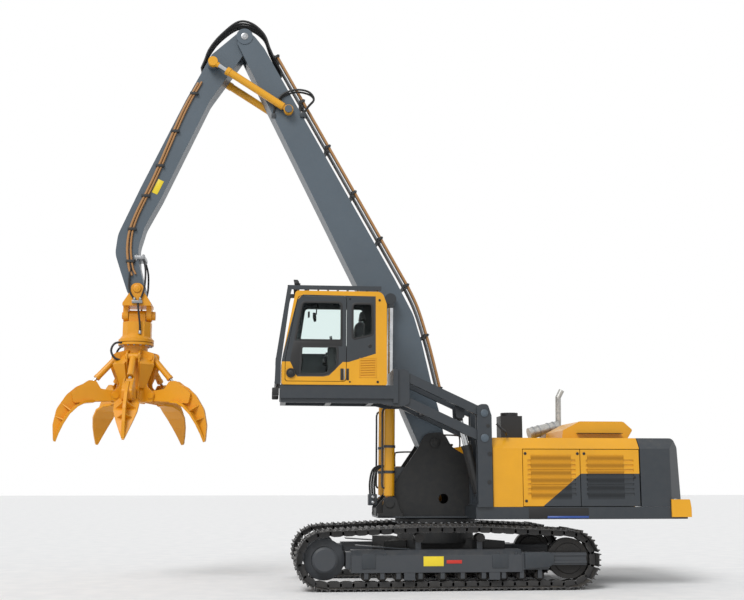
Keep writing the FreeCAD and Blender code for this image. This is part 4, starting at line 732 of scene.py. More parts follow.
ring_tree, given, result = new_tree("ring_of_bolts", [
    ("Bolts", "Int", 12), ("Ring Radius", "Float", 0.2), ("Bolt Radius", "Float", 0.012),
    ("Bolt Height", "Float", 0.01), ("Finish", "Material", None)])
circle = add_node(ring_tree, "GeometryNodeMeshCircle", Vertices=given["Bolts"], Radius=given["Ring Radius"])
head = add_node(ring_tree, "GeometryNodeMeshCylinder", Vertices=6, Radius=given["Bolt Radius"],
                Depth=given["Bolt Height"])
wide = add_node(ring_tree, "ShaderNodeMath", {"operation": "MULTIPLY"}, i0=given["Bolt Radius"], i1=1.45)
thin = add_node(ring_tree, "ShaderNodeMath", {"operation": "MULTIPLY"}, i0=given["Bolt Height"], i1=0.4)
washer = add_node(ring_tree, "GeometryNodeMeshCylinder", Vertices=14, Radius=wide.outputs[0],
                  Depth=thin.outputs[0])
bolt = add_node(ring_tree, "GeometryNodeJoinGeometry")
for solid in (head, washer):
    ring_tree.links.new(solid.outputs["Mesh"], bolt.inputs["Geometry"])
copies = add_node(ring_tree, "GeometryNodeInstanceOnPoints", Points=circle.outputs["Mesh"],
                  Instance=bolt.outputs["Geometry"])
end_tree(ring_tree, given, result, copies.outputs["Instances"])

slat_tree, given, result = new_tree("row_of_slats", [
    ("Slats", "Int", 6), ("Pitch", "Float", 0.1), ("Length", "Float", 0.5), ("Thickness", "Float", 0.004),
    ("Slat Height", "Float", 0.09), ("Tilt", "Float", 0.1), ("Finish", "Material", None)])
step = add_node(slat_tree, "ShaderNodeCombineXYZ", Z=given["Pitch"])
rows = add_node(slat_tree, "GeometryNodeMeshLine", Count=given["Slats"], Offset=step.outputs[0])
size = add_node(slat_tree, "ShaderNodeCombineXYZ", X=given["Length"], Y=given["Thickness"],
                Z=given["Slat Height"])
slat = add_node(slat_tree, "GeometryNodeMeshCube", Size=size.outputs[0])
lean = add_node(slat_tree, "ShaderNodeCombineXYZ", X=given["Tilt"])
leaning = add_node(slat_tree, "FunctionNodeEulerToRotation", Euler=lean.outputs[0])
copies = add_node(slat_tree, "GeometryNodeInstanceOnPoints", Points=rows.outputs["Mesh"],
                  Instance=slat.outputs["Mesh"], Rotation=leaning.outputs["Rotation"])
end_tree(slat_tree, given, result, copies.outputs["Instances"])
print("trees:", [t.name for t in bpy.data.node_groups if t.type == "GEOMETRY"])

# %% [markdown]
# ## Tracks
# A track is one chain of steel shoes. The frame holds it as a plain loop, so the chain is laid again
# here: one shoe
# is drawn as it is rolled, with three grousers, two links and its four bolts, and a tree sets 52 of
# them along the
# line of the pins. The line runs round the sprocket and the idler and over the two carrier rollers.

# %% Chain line
SPROCKET_X, IDLER_X, AXLE_Z = -2.01, 2.0, 0.49
PIN_RADIUS, CARRIER_LIFT = 0.398, 0.068
CARRIERS = (-0.475, 0.538)
TRACK_Y, SHOE_COUNT, SHOE_HALF = 1.295, 52, 0.3


def chain_line(y):
    """The pins' closed line, as a mesh of edges whose upper run goes towards the tail."""
    turn_steps = 16
    top = AXLE_Z + PIN_RADIUS
    line = [(SPROCKET_X, top), (CARRIERS[0], top + CARRIER_LIFT), (CARRIERS[1], top + CARRIER_LIFT)]
    for centre, start in ((IDLER_X, 0.5), (SPROCKET_X, -0.5)):
        for i in range(turn_steps + 1):
            angle = math.pi * (start - i / turn_steps)
            line.append((centre + PIN_RADIUS * math.cos(angle), AXLE_Z + PIN_RADIUS * math.sin(angle)))
    line = line[:-1]
    mesh = bpy.data.meshes.new("chain_line")
    edges = [(i, (i + 1) % len(line)) for i in range(len(line))]
    mesh.from_pydata([at(x, y, z) for x, z in line], edges, [])
    return mesh


print("chain line ready")

# %% One shoe
# x along the chain, z outwards from the pins: the rolled section of a shoe with its three grousers.
SHOE_SECTION = [
    (-0.104, 0.046), (-0.104, 0.056), (-0.098, 0.087), (-0.090, 0.092), (-0.083, 0.087), (-0.074, 0.060),
    (-0.020, 0.058), (-0.010, 0.086), (-0.002, 0.090), (0.006, 0.086), (0.016, 0.058), (0.066, 0.058),
    (0.076, 0.085), (0.083, 0.090), (0.090, 0.085), (0.098, 0.052), (0.107, 0.046), (0.098, 0.042),
    (0.0, 0.046)]
LINK_OUTLINE = [(-0.118, -0.02), (-0.095, -0.036), (-0.05, -0.05), (0.05, -0.05), (0.095, -0.036),
                (0.118, -0.02),
                (0.118, 0.02), (0.095, 0.04), (-0.095, 0.04), (-0.118, 0.02)]


def prism_here(bm, outline, near, far):
    """A plate in its own small space, for a part that a tree will place."""
    first = [bm.verts.new((x, near, z)) for x, z in outline]
    last = [bm.verts.new((x, far, z)) for x, z in outline]
    bm.faces.new(first)
    bm.faces.new(last[::-1])
    for i in range(len(outline)):
        j = (i + 1) % len(outline)
        bm.faces.new((first[j], first[i], last[i], last[j]))


shoe_bm = bmesh.new()
prism_here(shoe_bm, SHOE_SECTION, -SHOE_HALF, SHOE_HALF)
for inner, outer in ((0.065, 0.105), (-0.105, -0.065)):
    prism_here(shoe_bm, LINK_OUTLINE, inner, outer)
for x in (-0.047, 0.041):
    for y in (-0.086, 0.086):
        nut = bmesh.ops.create_cone(shoe_bm, cap_ends=True, segments=6, radius1=0.016, radius2=0.0135,
                                    depth=0.014)
        bmesh.ops.translate(shoe_bm, verts=nut["verts"], vec=(x, y, 0.064))
bmesh.ops.recalc_face_normals(shoe_bm, faces=shoe_bm.faces)
shoe_mesh = bpy.data.meshes.new("track_shoe")
shoe_bm.to_mesh(shoe_mesh)
shoe_bm.free()
shoe = bpy.data.objects.new("track_shoe", shoe_mesh)
# Shoe steel: dark, with bright silver on every edge at full wear. This is partly real polish from the ground
# and partly a painted highlight for the glints along the shoes' edges.
shoe_steel = paint("shoe_steel", (47, 47, 48), dust=0.35, wear=1.0, rubbed=(168, 168, 170), gloss=0.5,
                   coat=0.0)
print("one shoe:", len(shoe_mesh.polygons), "faces")

# %% Both tracks
for side, y in (("left", -TRACK_Y), ("right", TRACK_Y)):
    mesh = grow(along_tree, chain_line(y), Copies=SHOE_COUNT, Part=shoe, Finish=shoe_steel)
    track = dress("shoes_" + side, mesh, "undercarriage", shoe_steel)
    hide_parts("track_" + side)
    print(track.name, len(mesh.polygons), "faces")

# %% [markdown]
# ## Undercarriage
# The track frame carries a pressed cover plate, tie plates, guards over the idler's adjuster and a
# blank sign plate.
# The slew ring is bolted, and so are the grab's head and hub; the ring tree draws these bolts.

# %% Undercarriage plates
steel_bm, yellow_bm, red_bm = bmesh.new(), bmesh.new(), bmesh.new()
for side in (-1, 1):
    face = side * (TRACK_Y + 0.195)
    near, far = sorted((face, face + side * 0.012))
    # x, z of the middle and half sizes: cover plates on the outer side of the frame
    for x, z, half_x, half_z in ((-1.30, 0.47, 0.11, 0.12), (0.84, 0.46, 0.13, 0.11),
                                 (1.36, 0.455, 0.12, 0.115)):
        add_box(steel_bm, (x - half_x, near, z - half_z), (x + half_x, far, z + half_z), 0.004)
    for x in (-1.24, -1.03, 0.807, 1.106):
        add_box(steel_bm, (x - 0.02, min(face, face - side * 0.08), 0.555),
                (x + 0.02, max(face, face - side * 0.08), 0.60),
                0.004)
    near, far = sorted((face, face + side * 0.006))
    add_box(yellow_bm, (-0.416, near, 0.385), (-0.087, far, 0.54), 0.002)
    add_box(red_bm, (-0.04, near, 0.425), (0.21, far, 0.48), 0.002)
    # the pressed step plate that joins the frame to the leg of the car body
    step = [(-1.5, 0.70), (-0.62, 0.64), (-0.62, 0.655), (-1.5, 0.715)]
    add_prism(steel_bm, step, *sorted((side * 1.12, side * 1.38)), edge=0.003)
    # the adjuster's box beside the idler
    near, far = sorted((side * (TRACK_Y + 0.19), side * (TRACK_Y + 0.235)))
    add_prism(steel_bm, [(1.24, 0.33), (1.64, 0.36), (1.72, 0.42), (1.72, 0.56), (1.64, 0.60),
                         (1.24, 0.60)], near, far,
              0.008)
close(steel_bm, "track_frame_plates", "undercarriage", dark_paint)
close(yellow_bm, "blank_side_plates", "undercarriage", plate_paint)
close(red_bm, "arrow_side_plates", "undercarriage", red_paint)
print("undercarriage plates on both sides")

# %% Bolts in rings
# Body, slot, finish, then for each ring: place, axis, bolts, ring radius, bolt radius, bolt height.
Z_AXIS = (0, 0, 1)
GRAB_X = -5.275
RINGS = [
    ("undercarriage", "track_steel", zinc, [
        ((0, 0, 1.045), Z_AXIS, 36, 0.73, 0.016, 0.02)]),
    ("grab_head", "yellow_paint", zinc, [((GRAB_X, 0, 4.182), Z_AXIS, 16, 0.272, 0.015, 0.018)]),
    ("grab_hub", "yellow_paint", zinc, [((GRAB_X, 0, 4.072), Z_AXIS, 16, 0.272, 0.015, 0.018)]),
]
for body, slot, finish_here, rings in RINGS:
    bolts_bm = bmesh.new()
    for place, axis, count, ring_radius, bolt_radius, bolt_height in rings:
        mesh = grow(ring_tree, Bolts=count, Ring_Radius=ring_radius, Bolt_Radius=bolt_radius,
                    Bolt_Height=bolt_height, Finish=finish_here)
        mesh.transform(Matrix.Translation(at(*place)) @ Vector(axis).to_track_quat("Z",
                                                                                   "Y").to_matrix().to_4x4())
        bolts_bm.from_mesh(mesh)
        bpy.data.meshes.remove(mesh)
    close(bolts_bm, "ring_bolts_" + body, body, finish_here)
    print(body, "rings:", len(rings))

# %% [markdown]
# ## Engine housing
# The side doors breathe through screens: rows of fine perforated sheet between thin bars. A row leans a
# little, so
# that each one shades the next. A dark sill stripe with a blue line runs under the doors; its lettering
# is left off.

# %% Screens on the doors
screen_look = finish("perforated_screen", weaving,
                     {"Low Colour": linear(112, 74, 10), "High Colour": linear(206, 142, 20),
                      "Threads": 60.0})
screen_tree = screen_look.node_tree
screen_effect = next(node for node in screen_tree.nodes if node.type == "GROUP")
screen_place = add_node(screen_tree, "ShaderNodeTexCoord").outputs["Object"]
in_dark = field(screen_tree, screen_place, TAIL_FIELD)
for socket, bright, dull in (("Low Colour", (112, 74, 10), (14, 16, 18)),
                             ("High Colour", (206, 142, 20), (44, 48, 52))):
    mixed = add_node(screen_tree, "ShaderNodeMix", {"data_type": "RGBA"}, i0=in_dark, i6=linear(*bright),
                     i7=linear(*dull))
    screen_tree.links.new(mixed.outputs[2], screen_effect.inputs[socket])
# Door, side, from x, to x
SCREENS = [("door_left_front", -1, 1.395, 2.075), ("door_left_rear", -1, 2.352, 2.973),
           ("door_right_front", 1, 1.395, 2.075), ("door_right_rear", 1, 2.352, 2.973)]
SCREEN_LOW, SCREEN_ROWS, SCREEN_PITCH, SIDE_Y = 1.50, 6, 0.122, 1.42
for door, side, x0, x1 in SCREENS:
    mesh = grow(slat_tree, Slats=SCREEN_ROWS, Pitch=SCREEN_PITCH, Length=x1 - x0, Thickness=0.006,
                Slat_Height=SCREEN_PITCH - 0.006, Tilt=-side * 0.05, Finish=screen_look)
    mesh.transform(Matrix.Translation(at((x0 + x1) / 2, side * (SIDE_Y + 0.001), SCREEN_LOW)))
    screen_bm = bmesh.new()
    screen_bm.from_mesh(mesh)
    close(screen_bm, door.replace("door", "screens"), door, screen_look)
print("screens on", len(SCREENS), "doors")

# %% Housing trim
trim_bm, blue_bm = bmesh.new(), bmesh.new()
for side in (-1, 1):
    near, far = sorted((side * 1.42, side * 1.424))
    add_prism(trim_bm, [(1.345, 1.305), (2.352, 1.305), (2.352, 1.132), (1.345, 1.132)], near, far, 0.001)
    near, far = sorted((side * 1.424, side * 1.426))
    add_prism(blue_bm, [(1.66, 1.172), (2.352, 1.172), (2.352, 1.134), (1.65, 1.134)], near, far, 0.0005)
close(trim_bm, "sill_stripe", "upper", black_plastic)
close(blue_bm, "sill_line", "upper", blue_paint)
# Door latches and screws: door, side, x, z
LATCHES = [("door_left_front", -1, 1.303, 2.19), ("door_left_front", -1, 2.188, 2.19),
           ("door_left_front", -1, 1.31, 1.415), ("door_left_rear", -1, 3.15, 1.80),
           ("door_left_rear", -1, 2.30, 2.19), ("door_right_front", 1, 1.303, 2.19),
           ("door_right_front", 1, 2.188, 2.19), ("door_right_rear", 1, 3.15, 1.80)]
for door in sorted({row[0] for row in LATCHES}):
    latch_bm = bmesh.new()
    for owner, side, x, z in LATCHES:
        if owner == door:
            add_lathe(latch_bm, [(0, 0.024), (0.006, 0.024), (0.009, 0.018), (0.009, 0.012), (0.005, 0.010)],
                      (x, side * 1.42, z), (0, side, 0), 16)
    close(latch_bm, door.replace("door", "latches"), door, black_plastic)
print("sill stripe and latches")

# %% [markdown]
# ## Pipes and hoses on the boom
# Oil travels up the boom's back in steel pipes, crosses to the stick in a bundle of hoses that arch
# over the head
# pin, and goes on to the grab in pipes along the stick.

# %% Pipes along the boom
# x, z along the boom's back, from the foot up to the head
BACK_LINE = [(0.02, 3.35), (-0.11, 3.9), (-0.21, 4.28), (-0.35, 4.74), (-0.50, 5.08), (-0.72, 5.48),
             (-1.5, 6.87),
             (-2.3, 8.29), (-2.93, 9.41)]
# y, how far off the plate, radius, first point, finish: one pipe each
BACK_PIPES = [(-0.22, 0.035, 0.024, 0, brown_paint), (-0.15, 0.035, 0.020, 0, grey_paint),
              (0.15, 0.035, 0.024, 0, grey_paint), (0.22, 0.035, 0.020, 0, brown_paint)]


def off_back(line, off):
    """The line moved away from the plate it follows."""
    moved = []
    for i, (x, z) in enumerate(line):
        before, after = line[max(i - 1, 0)], line[min(i + 1, len(line) - 1)]
        way = Vector((after[0] - before[0], 0, after[1] - before[1])).normalized()
        moved.append((x + way.z * off, z - way.x * off))
    return moved


pipes_by_finish = {}
for y, off, radius, first, material in BACK_PIPES:
    bm = pipes_by_finish.setdefault(material.name, (bmesh.new(), material))[0]
    line = smooth_path([(x, y, z) for x, z in off_back(BACK_LINE[first:], off + radius)])
    add_pipe(bm, line, radius, 12)
for name, (bm, material) in pipes_by_finish.items():
    close(bm, "boom_pipes_" + name.split("_")[0], "boom", material)
print("pipes on the boom's back:", len(BACK_PIPES))

# %% Pipe clamps
clamp_bm = bmesh.new()
prism_here(clamp_bm, [(-0.022, -0.036), (0.022, -0.036), (0.022, 0.034), (-0.022, 0.034)], -0.26, 0.26)
prism_here(clamp_bm, [(-0.03, -0.06), (0.03, -0.06), (0.03, -0.036), (-0.03, -0.036)], -0.27, 0.27)
for y in (-0.245, -0.185, 0.185, 0.245):
    nut = bmesh.ops.create_cone(clamp_bm, cap_ends=True, segments=6, radius1=0.012, radius2=0.010,
                                depth=0.014)
    bmesh.ops.translate(clamp_bm, verts=nut["verts"], vec=(0, y, 0.041))
bmesh.ops.recalc_face_normals(clamp_bm, faces=clamp_bm.faces)
clamp_mesh = bpy.data.meshes.new("pipe_clamp")
clamp_bm.to_mesh(clamp_mesh)
clamp_bm.free()
pipe_clamp = bpy.data.objects.new("pipe_clamp", clamp_mesh)
clamp_line = bpy.data.meshes.new("clamp_line")
clamp_places = off_back(BACK_LINE, 0.057)[::-1]
clamp_line.from_pydata([at(x, 0, z) for x, z in clamp_places],
                       [(i, i + 1) for i in range(len(clamp_places) - 1)], [])
mesh = grow(along_tree, clamp_line, Copies=8, Part=pipe_clamp, Finish=black_paint)
dress("pipe_clamps", mesh, "boom", black_paint)
print("pipe clamps: 8")

# %% Pipes on the stick
stick_bm = bmesh.new()
# x, z of the pipe that runs down the stick's side to its bent end
STICK_LINE = [(-4.30, 8.88), (-4.589, 8.282), (-5.029, 7.126), (-5.375, 6.30), (-5.46, 5.85), (-5.42, 5.45),
              (-5.36, 5.30)]
for side in (-1, 1):
    for shift, radius in ((0.0, 0.022), (0.06, 0.018)):
        points = [(x + shift, side * (0.205 + radius + 0.006), z + shift * 0.4) for x, z in STICK_LINE]
        add_pipe(stick_bm, smooth_path(points), radius, 10)
close(stick_bm, "stick_pipes", "stick", brown_paint)
grip_bm = bmesh.new()
for x, z in ((-4.40, 8.67), (-4.72, 7.95), (-4.97, 7.30), (-5.20, 6.74), (-5.42, 6.13), (-5.43, 5.55)):
    for side in (-1, 1):
        near, far = sorted((side * 0.205, side * 0.258))
        add_box(grip_bm, (x - 0.045, near, z - 0.022), (x + 0.105, far, z + 0.03), 0.006)
close(grip_bm, "stick_clamps", "stick", black_paint)
sign_bm = bmesh.new()
for side in (-1, 1):
    near, far = sorted((side * 0.205, side * 0.209))
    add_prism(sign_bm, [(-4.963, 7.066), (-4.862, 7.02), (-4.974, 6.775), (-5.075, 6.82)], near, far, 0.001)
close(sign_bm, "blank_stick_plates", "stick", plate_paint)
print("stick pipes, clamps and blank plates")

# %% Hoses over the boom's head
# y at the boom, y at the stick, height of the arch above the head pin, radius
HEAD_HOSES = [(-0.14, -0.12, 0.345, 0.021), (-0.09, -0.07, 0.32, 0.019), (-0.03, -0.02, 0.30, 0.021),
              (0.04, 0.03, 0.30, 0.019), (0.10, 0.09, 0.33, 0.021), (0.15, 0.13, 0.31, 0.018)]
for number, (y_boom, y_stick, rise, radius) in enumerate(HEAD_HOSES, 1):
    x, z = -3.48, 9.775
    points = [(-2.80, y_boom, 9.17), (-2.90, y_boom, 9.36), (-3.02, y_boom, 9.62), (-3.13, y_boom, z + 0.12),
              (-3.36, (y_boom + y_stick) / 2, z + rise - 0.02), (-3.62, y_stick, z + rise),
              (-3.93, y_stick, z + 0.07), (-4.12, y_stick, 9.58), (-4.20, y_stick, 9.36),
              (-4.26, y_stick, 9.20)]
    hose_bm = bmesh.new()
    add_pipe(hose_bm, smooth_path(points, 8), radius, 10)
    hose = close(hose_bm, "head_hose_{}".format(number), None, rubber)
    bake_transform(hose)
print("head hoses:", len(HEAD_HOSES))

# %% [markdown]
# ## Cab
# The cab's panes sit in black rubber, with a black band across the door between the upper and the lower
# window. The
# door has a lamp in its foot, a grab handle at the seam and a lock; a wiper and a mirror show through
# the glass.

# %% Window seals
CAB_Y = -1.54
# Each window's corners as x, z and the corner's rounding, in metres.
UPPER_WINDOW = [(-2.515, 4.030, 0.025), (-2.405, 4.655, 0.06), (-1.765, 4.655, 0.06), (-1.765, 4.030, 0.025)]
LOWER_WINDOW = [(-2.435, 3.470, 0.025), (-2.408, 3.915, 0.03), (-1.830, 3.915, 0.03), (-1.830, 3.560, 0.17),
                (-2.060, 3.470, 0.12)]
SIDE_WINDOW = [(-1.570, 4.050, 0.04), (-1.240, 4.130, 0.06), (-1.255, 4.640, 0.05), (-1.570, 4.640, 0.05)]


def rounded(corners, steps=5):
    """An outline of (x, z) with its corners rounded, for a pane's edge."""
    line = []
    count = len(corners)
    for i, (x, z, radius) in enumerate(corners):
        here = Vector((x, 0, z))
        before, after = corners[i - 1], corners[(i + 1) % count]
        to_before = (Vector((before[0], 0, before[1])) - here).normalized()
        to_after = (Vector((after[0], 0, after[1])) - here).normalized()
        half_angle = to_before.angle(to_after) / 2
        reach = radius / math.tan(half_angle)
        middle = here + (to_before + to_after).normalized() * radius / math.sin(half_angle)
        start = (here + to_before * reach - middle).normalized()
        end = (here + to_after * reach - middle).normalized()
        for k in range(steps + 1):
            line.append(middle + start.slerp(end, k / steps) * radius)
    return [(point.x, point.z) for point in line]


def add_seal(bm, corners, y, width, depth):
    """A rubber frame round a window: its section follows the rounded outline."""
    line = rounded(corners)
    count = len(line)
    centre = Vector((sum(x for x, z in line) / count, 0, sum(z for x, z in line) / count))
    rings = []
    for i, (x, z) in enumerate(line):
        before, after = line[i - 1], line[(i + 1) % count]
        way = Vector((after[0] - before[0], 0, after[1] - before[1])).normalized()
        out = Vector((way.z, 0, -way.x))
        if out.dot(Vector((x, 0, z)) - centre) < 0:
            out = -out
        section = [(-0.012, -depth * 0.6), (width, -depth * 0.6), (width + 0.004, 0),
                   (width * 0.5, depth * 0.5),
                   (-0.012, depth * 0.2)]
        rings.append([at(x, y, z) + out * o + Vector((0, -d, 0)) for o, d in section])
    add_rings(bm, rings, closed=True)


door_seal_bm, shell_seal_bm = bmesh.new(), bmesh.new()
for corners in (UPPER_WINDOW, LOWER_WINDOW):
    add_seal(door_seal_bm, corners, CAB_Y, 0.022, 0.012)
add_seal(shell_seal_bm, SIDE_WINDOW, CAB_Y, 0.020, 0.012)
close(door_seal_bm, "door_window_seals", "cab_door", rubber)
close(shell_seal_bm, "side_window_seal", "cab", rubber)
print("window seals: 3")

# %% Door band, lamp and handle
band_bm, handle_bm, strip_bm = bmesh.new(), bmesh.new(), bmesh.new()
band = [(-2.545, 4.012), (-1.745, 4.012), (-1.745, 3.93), (-2.43, 3.93), (-2.457, 3.45), (-2.50, 3.45),
        (-2.59, 3.66),
        (-2.595, 3.72)]
add_prism(band_bm, band, CAB_Y - 0.003, CAB_Y + 0.001, 0.001)
close(band_bm, "door_band", "cab_door", black_plastic)
add_prism(handle_bm, [(-1.775, 3.37), (-1.725, 3.37), (-1.725, 3.56), (-1.775, 3.56)], CAB_Y - 0.014,
          CAB_Y - 0.001,
          0.004)
add_lathe(handle_bm, [(0.018, 0.078), (0.026, 0.078), (0.034, 0.07), (0.034, 0.056), (0.02, 0.05)],
          (-2.585, CAB_Y, 3.48), (0, -1, 0), 28)
close(handle_bm, "door_handle_and_lamp_rim", "cab_door", black_plastic)
shell_handle_bm = bmesh.new()
add_prism(shell_handle_bm, [(-1.675, 3.37), (-1.635, 3.37), (-1.635, 3.56), (-1.675, 3.56)], CAB_Y - 0.007,
          CAB_Y - 0.001, 0.002)
for x, z, radius in ((-1.287, 3.938, 0.03), (-1.127, 4.705, 0.02), (-1.16, 3.344, 0.02),
                     (-1.62, 3.344, 0.014),
                     (-1.62, 4.72, 0.014)):
    add_lathe(shell_handle_bm, [(0, radius), (0.008, radius), (0.012, radius * 0.7), (0.006, radius * 0.55)],
              (x, CAB_Y, z), (0, -1, 0), 16)
add_box(shell_handle_bm, (-2.888, -1.53, 3.11), (-2.775, -1.43, 3.245), 0.02)
add_box(shell_handle_bm, (-2.888, -0.73, 3.11), (-2.775, -0.63, 3.245), 0.02)
close(shell_handle_bm, "cab_handle_lock_and_bumpers", "cab", black_plastic)
add_prism(strip_bm, [(-1.718, 3.375), (-1.70, 3.375), (-1.70, 3.555), (-1.718, 3.555)], CAB_Y - 0.009,
          CAB_Y - 0.002,
          0.002)
close(strip_bm, "door_latch_strip", "cab_door", zinc)
lens_bm = bmesh.new()
add_lathe(lens_bm, [(0.018, 0.052), (0.026, 0.05), (0.032, 0.03), (0.033, 0.004)],
          (-2.585, CAB_Y, 3.48), (0, -1, 0),
          28)
close(lens_bm, "door_lamp_lens", "cab_door", black_plastic)
print("door band, lamp, handle and lock")

# %% Grille frame and roof lamps
frame_bm = bmesh.new()
for x0, x1, z0, z1 in ((-1.462, -1.178, 3.728, 3.736), (-1.462, -1.178, 3.414, 3.422),
                       (-1.462, -1.454, 3.414, 3.736),
                       (-1.186, -1.178, 3.414, 3.736)):
    add_box(frame_bm, (x0, CAB_Y - 0.006, z0), (x1, CAB_Y + 0.001, z1), 0.002)
close(frame_bm, "grille_frame", "cab", yellow_paint)
lamp_bm, glow_bm = bmesh.new(), bmesh.new()
for y in (-1.38, -0.78):
    add_lathe(lamp_bm, [(0, 0.03), (0.02, 0.062), (0.07, 0.07), (0.085, 0.07), (0.085, 0.058),
                        (0.074, 0.055)],
              (-2.46, y, 5.0), (-1, 0, -0.15), 24)
    add_lathe(glow_bm, [(0.070, 0.056), (0.084, 0.05), (0.088, 0.02)], (-2.46, y, 5.0), (-1, 0, -0.15), 24)
    add_box(lamp_bm, (-2.50, y - 0.012, 4.93), (-2.44, y + 0.012, 5.0), 0.003)
close(lamp_bm, "roof_lamps", "cab", black_plastic)
lens = bpy.data.materials.new("lamp_lens")
lens.use_nodes = True
lens_shader = lens.node_tree.nodes["Principled BSDF"]
for label, value in (("Base Color", (0.86, 0.88, 0.9, 1)), ("Metallic", 0.6)):
    lens_shader.inputs[label].default_value = value
flutes = add_node(lens.node_tree, "ShaderNodeTexWave", {"bands_direction": "Z"},
                  Vector=add_node(lens.node_tree, "ShaderNodeTexCoord").outputs["Object"], Scale=26.0)
fluted = add_node(lens.node_tree, "ShaderNodeBump", Height=flutes.outputs["Fac"], Strength=0.4,
                  Distance=0.002)
flute_rough = add_node(lens.node_tree, "ShaderNodeMapRange", Value=flutes.outputs["Fac"], To_Min=0.08,
                       To_Max=0.22)
lens.node_tree.links.new(fluted.outputs["Normal"], lens_shader.inputs["Normal"])
lens.node_tree.links.new(flute_rough.outputs["Result"], lens_shader.inputs["Roughness"])
close(glow_bm, "roof_lamp_lenses", "cab", lens)
print("roof lamps: 2")

# %% Inside the cab
inner_bm, screen_bm = bmesh.new(), bmesh.new()
# the wiper on the windscreen and its arm, seen through the door's glass
add_pipe(inner_bm, smooth_path([(-2.615, -1.1, 3.86), (-2.585, -1.09, 4.1), (-2.505, -1.06, 4.5)]), 0.008, 8)
add_pipe(inner_bm, smooth_path([(-2.595, -1.11, 4.02), (-2.50, -1.06, 4.5), (-2.465, -1.04, 4.68)]), 0.006, 8)
# inner mirror and fan on a stalk from the roof
add_pipe(inner_bm, smooth_path([(-2.15, -1.32, 4.79), (-2.16, -1.32, 4.6), (-2.17, -1.32, 4.48)]), 0.010, 8)
add_lathe(inner_bm, [(0, 0.02), (0.01, 0.075), (0.045, 0.08), (0.055, 0.03)], (-2.17, -1.34, 4.44),
          (-1, 0.2, -0.1), 18)
add_box(inner_bm, (-2.31, -1.42, 4.43), (-2.28, -1.30, 4.52), 0.006)
add_box(screen_bm, (-2.50, -0.82, 3.95), (-2.46, -0.70, 4.12), 0.006)
# pedals with their treads, and the floor mat
for y in (-1.18, -0.98):
    add_prism(inner_bm, [(-2.46, 3.40), (-2.30, 3.36), (-2.30, 3.375), (-2.45, 3.42)], y - 0.05,
              y + 0.05, 0.004)
    add_pipe(inner_bm, [at(-2.44, y, 3.41), at(-2.38, y, 3.75)], 0.011, 8)
add_box(inner_bm, (-2.60, -1.46, 3.349), (-2.02, -0.70, 3.362), 0.005)
close(inner_bm, "cab_wiper_mirror_and_pedals", "cab", black_plastic)
close(screen_bm, "cab_display", "cab", plastic)
print("inside the cab: wiper, mirror, fan, display, pedals and mat")

# %% [markdown]
# ## Seat
# The operator's seat is foam under woven cloth. A pad that is only rounded looks hard, so each cushion
# is filled by a
# cloth simulation with pressure: its skin is blown out from the cushion's own form, and no point moves
# further than a set cap.
# The result is applied, and a shell, arm rests and a headrest are added after it.

# %% Padded seat
SEAT_Y, SEAT_FLOOR = -1.08, 3.349
PAD_VOXEL, PAD_PRESSURE, PAD_FRAMES, PAD_CAP = 0.012, 4.0, 20, 0.022
# Each cushion: side outline of (x, z over the floor), and half width
CUSHIONS = [
    ("seat_cushion", [(-2.06, 0.355), (-2.06, 0.44), (-1.95, 0.465), (-1.60, 0.445), (-1.56, 0.36)], 0.225),
    ("seat_back", [(-1.575, 0.47), (-1.475, 1.02), (-1.44, 1.06), (-1.36, 1.045), (-1.40, 0.60),
                   (-1.455, 0.46)], 0.215),
]


def puffed(mesh, name):
    """Blows a closed mesh out like a stuffed cover and returns the result, smoothed."""
    pad = bpy.data.objects.new(name, mesh)
    scene.collection.objects.link(pad)
    voxels = pad.modifiers.new("voxels", "REMESH")
    voxels.mode, voxels.voxel_size = "VOXEL", PAD_VOXEL
    graph = bpy.context.evaluated_depsgraph_get()
    fine = bpy.data.meshes.new_from_object(pad.evaluated_get(graph))
    pad.modifiers.clear()
    pad.data = fine
    before = [v.co.copy() for v in fine.vertices]
    cloth = pad.modifiers.new("filling", "CLOTH")
    cloth.settings.use_pressure = True
    cloth.settings.uniform_pressure_force = PAD_PRESSURE
    cloth.settings.effector_weights.gravity = 0
    cloth.settings.quality = 5
    cloth.point_cache.frame_start, cloth.point_cache.frame_end = 1, PAD_FRAMES
    for frame_number in range(1, PAD_FRAMES + 1):
        scene.frame_set(frame_number)
    graph = bpy.context.evaluated_depsgraph_get()
    blown = bpy.data.meshes.new_from_object(pad.evaluated_get(graph))
    pad.modifiers.clear()
    scene.frame_set(1)
    for vertex, start in zip(blown.vertices, before):
        moved = vertex.co - start
        if moved.length > PAD_CAP:
            vertex.co = start + moved.normalized() * PAD_CAP
    pad.data = blown
    smooth = pad.modifiers.new("smooth", "SUBSURF")
    smooth.levels = smooth.render_levels = 1
    graph = bpy.context.evaluated_depsgraph_get()
    soft = bpy.data.meshes.new_from_object(pad.evaluated_get(graph))
    bpy.data.objects.remove(pad)
    return soft


for name, outline, half in CUSHIONS:
    pad_bm = bmesh.new()
    add_prism(pad_bm, [(x, SEAT_FLOOR + z) for x, z in outline], SEAT_Y - half, SEAT_Y + half, 0.03)
    bmesh.ops.recalc_face_normals(pad_bm, faces=pad_bm.faces)
    pad_mesh = bpy.data.meshes.new(name)
    pad_bm.to_mesh(pad_mesh)
    pad_bm.free()
    pad_piece = dress(name, puffed(pad_mesh, name), "cab", seat_cloth)
    print(name, len(pad_piece.data.polygons), "faces")
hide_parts("seat")

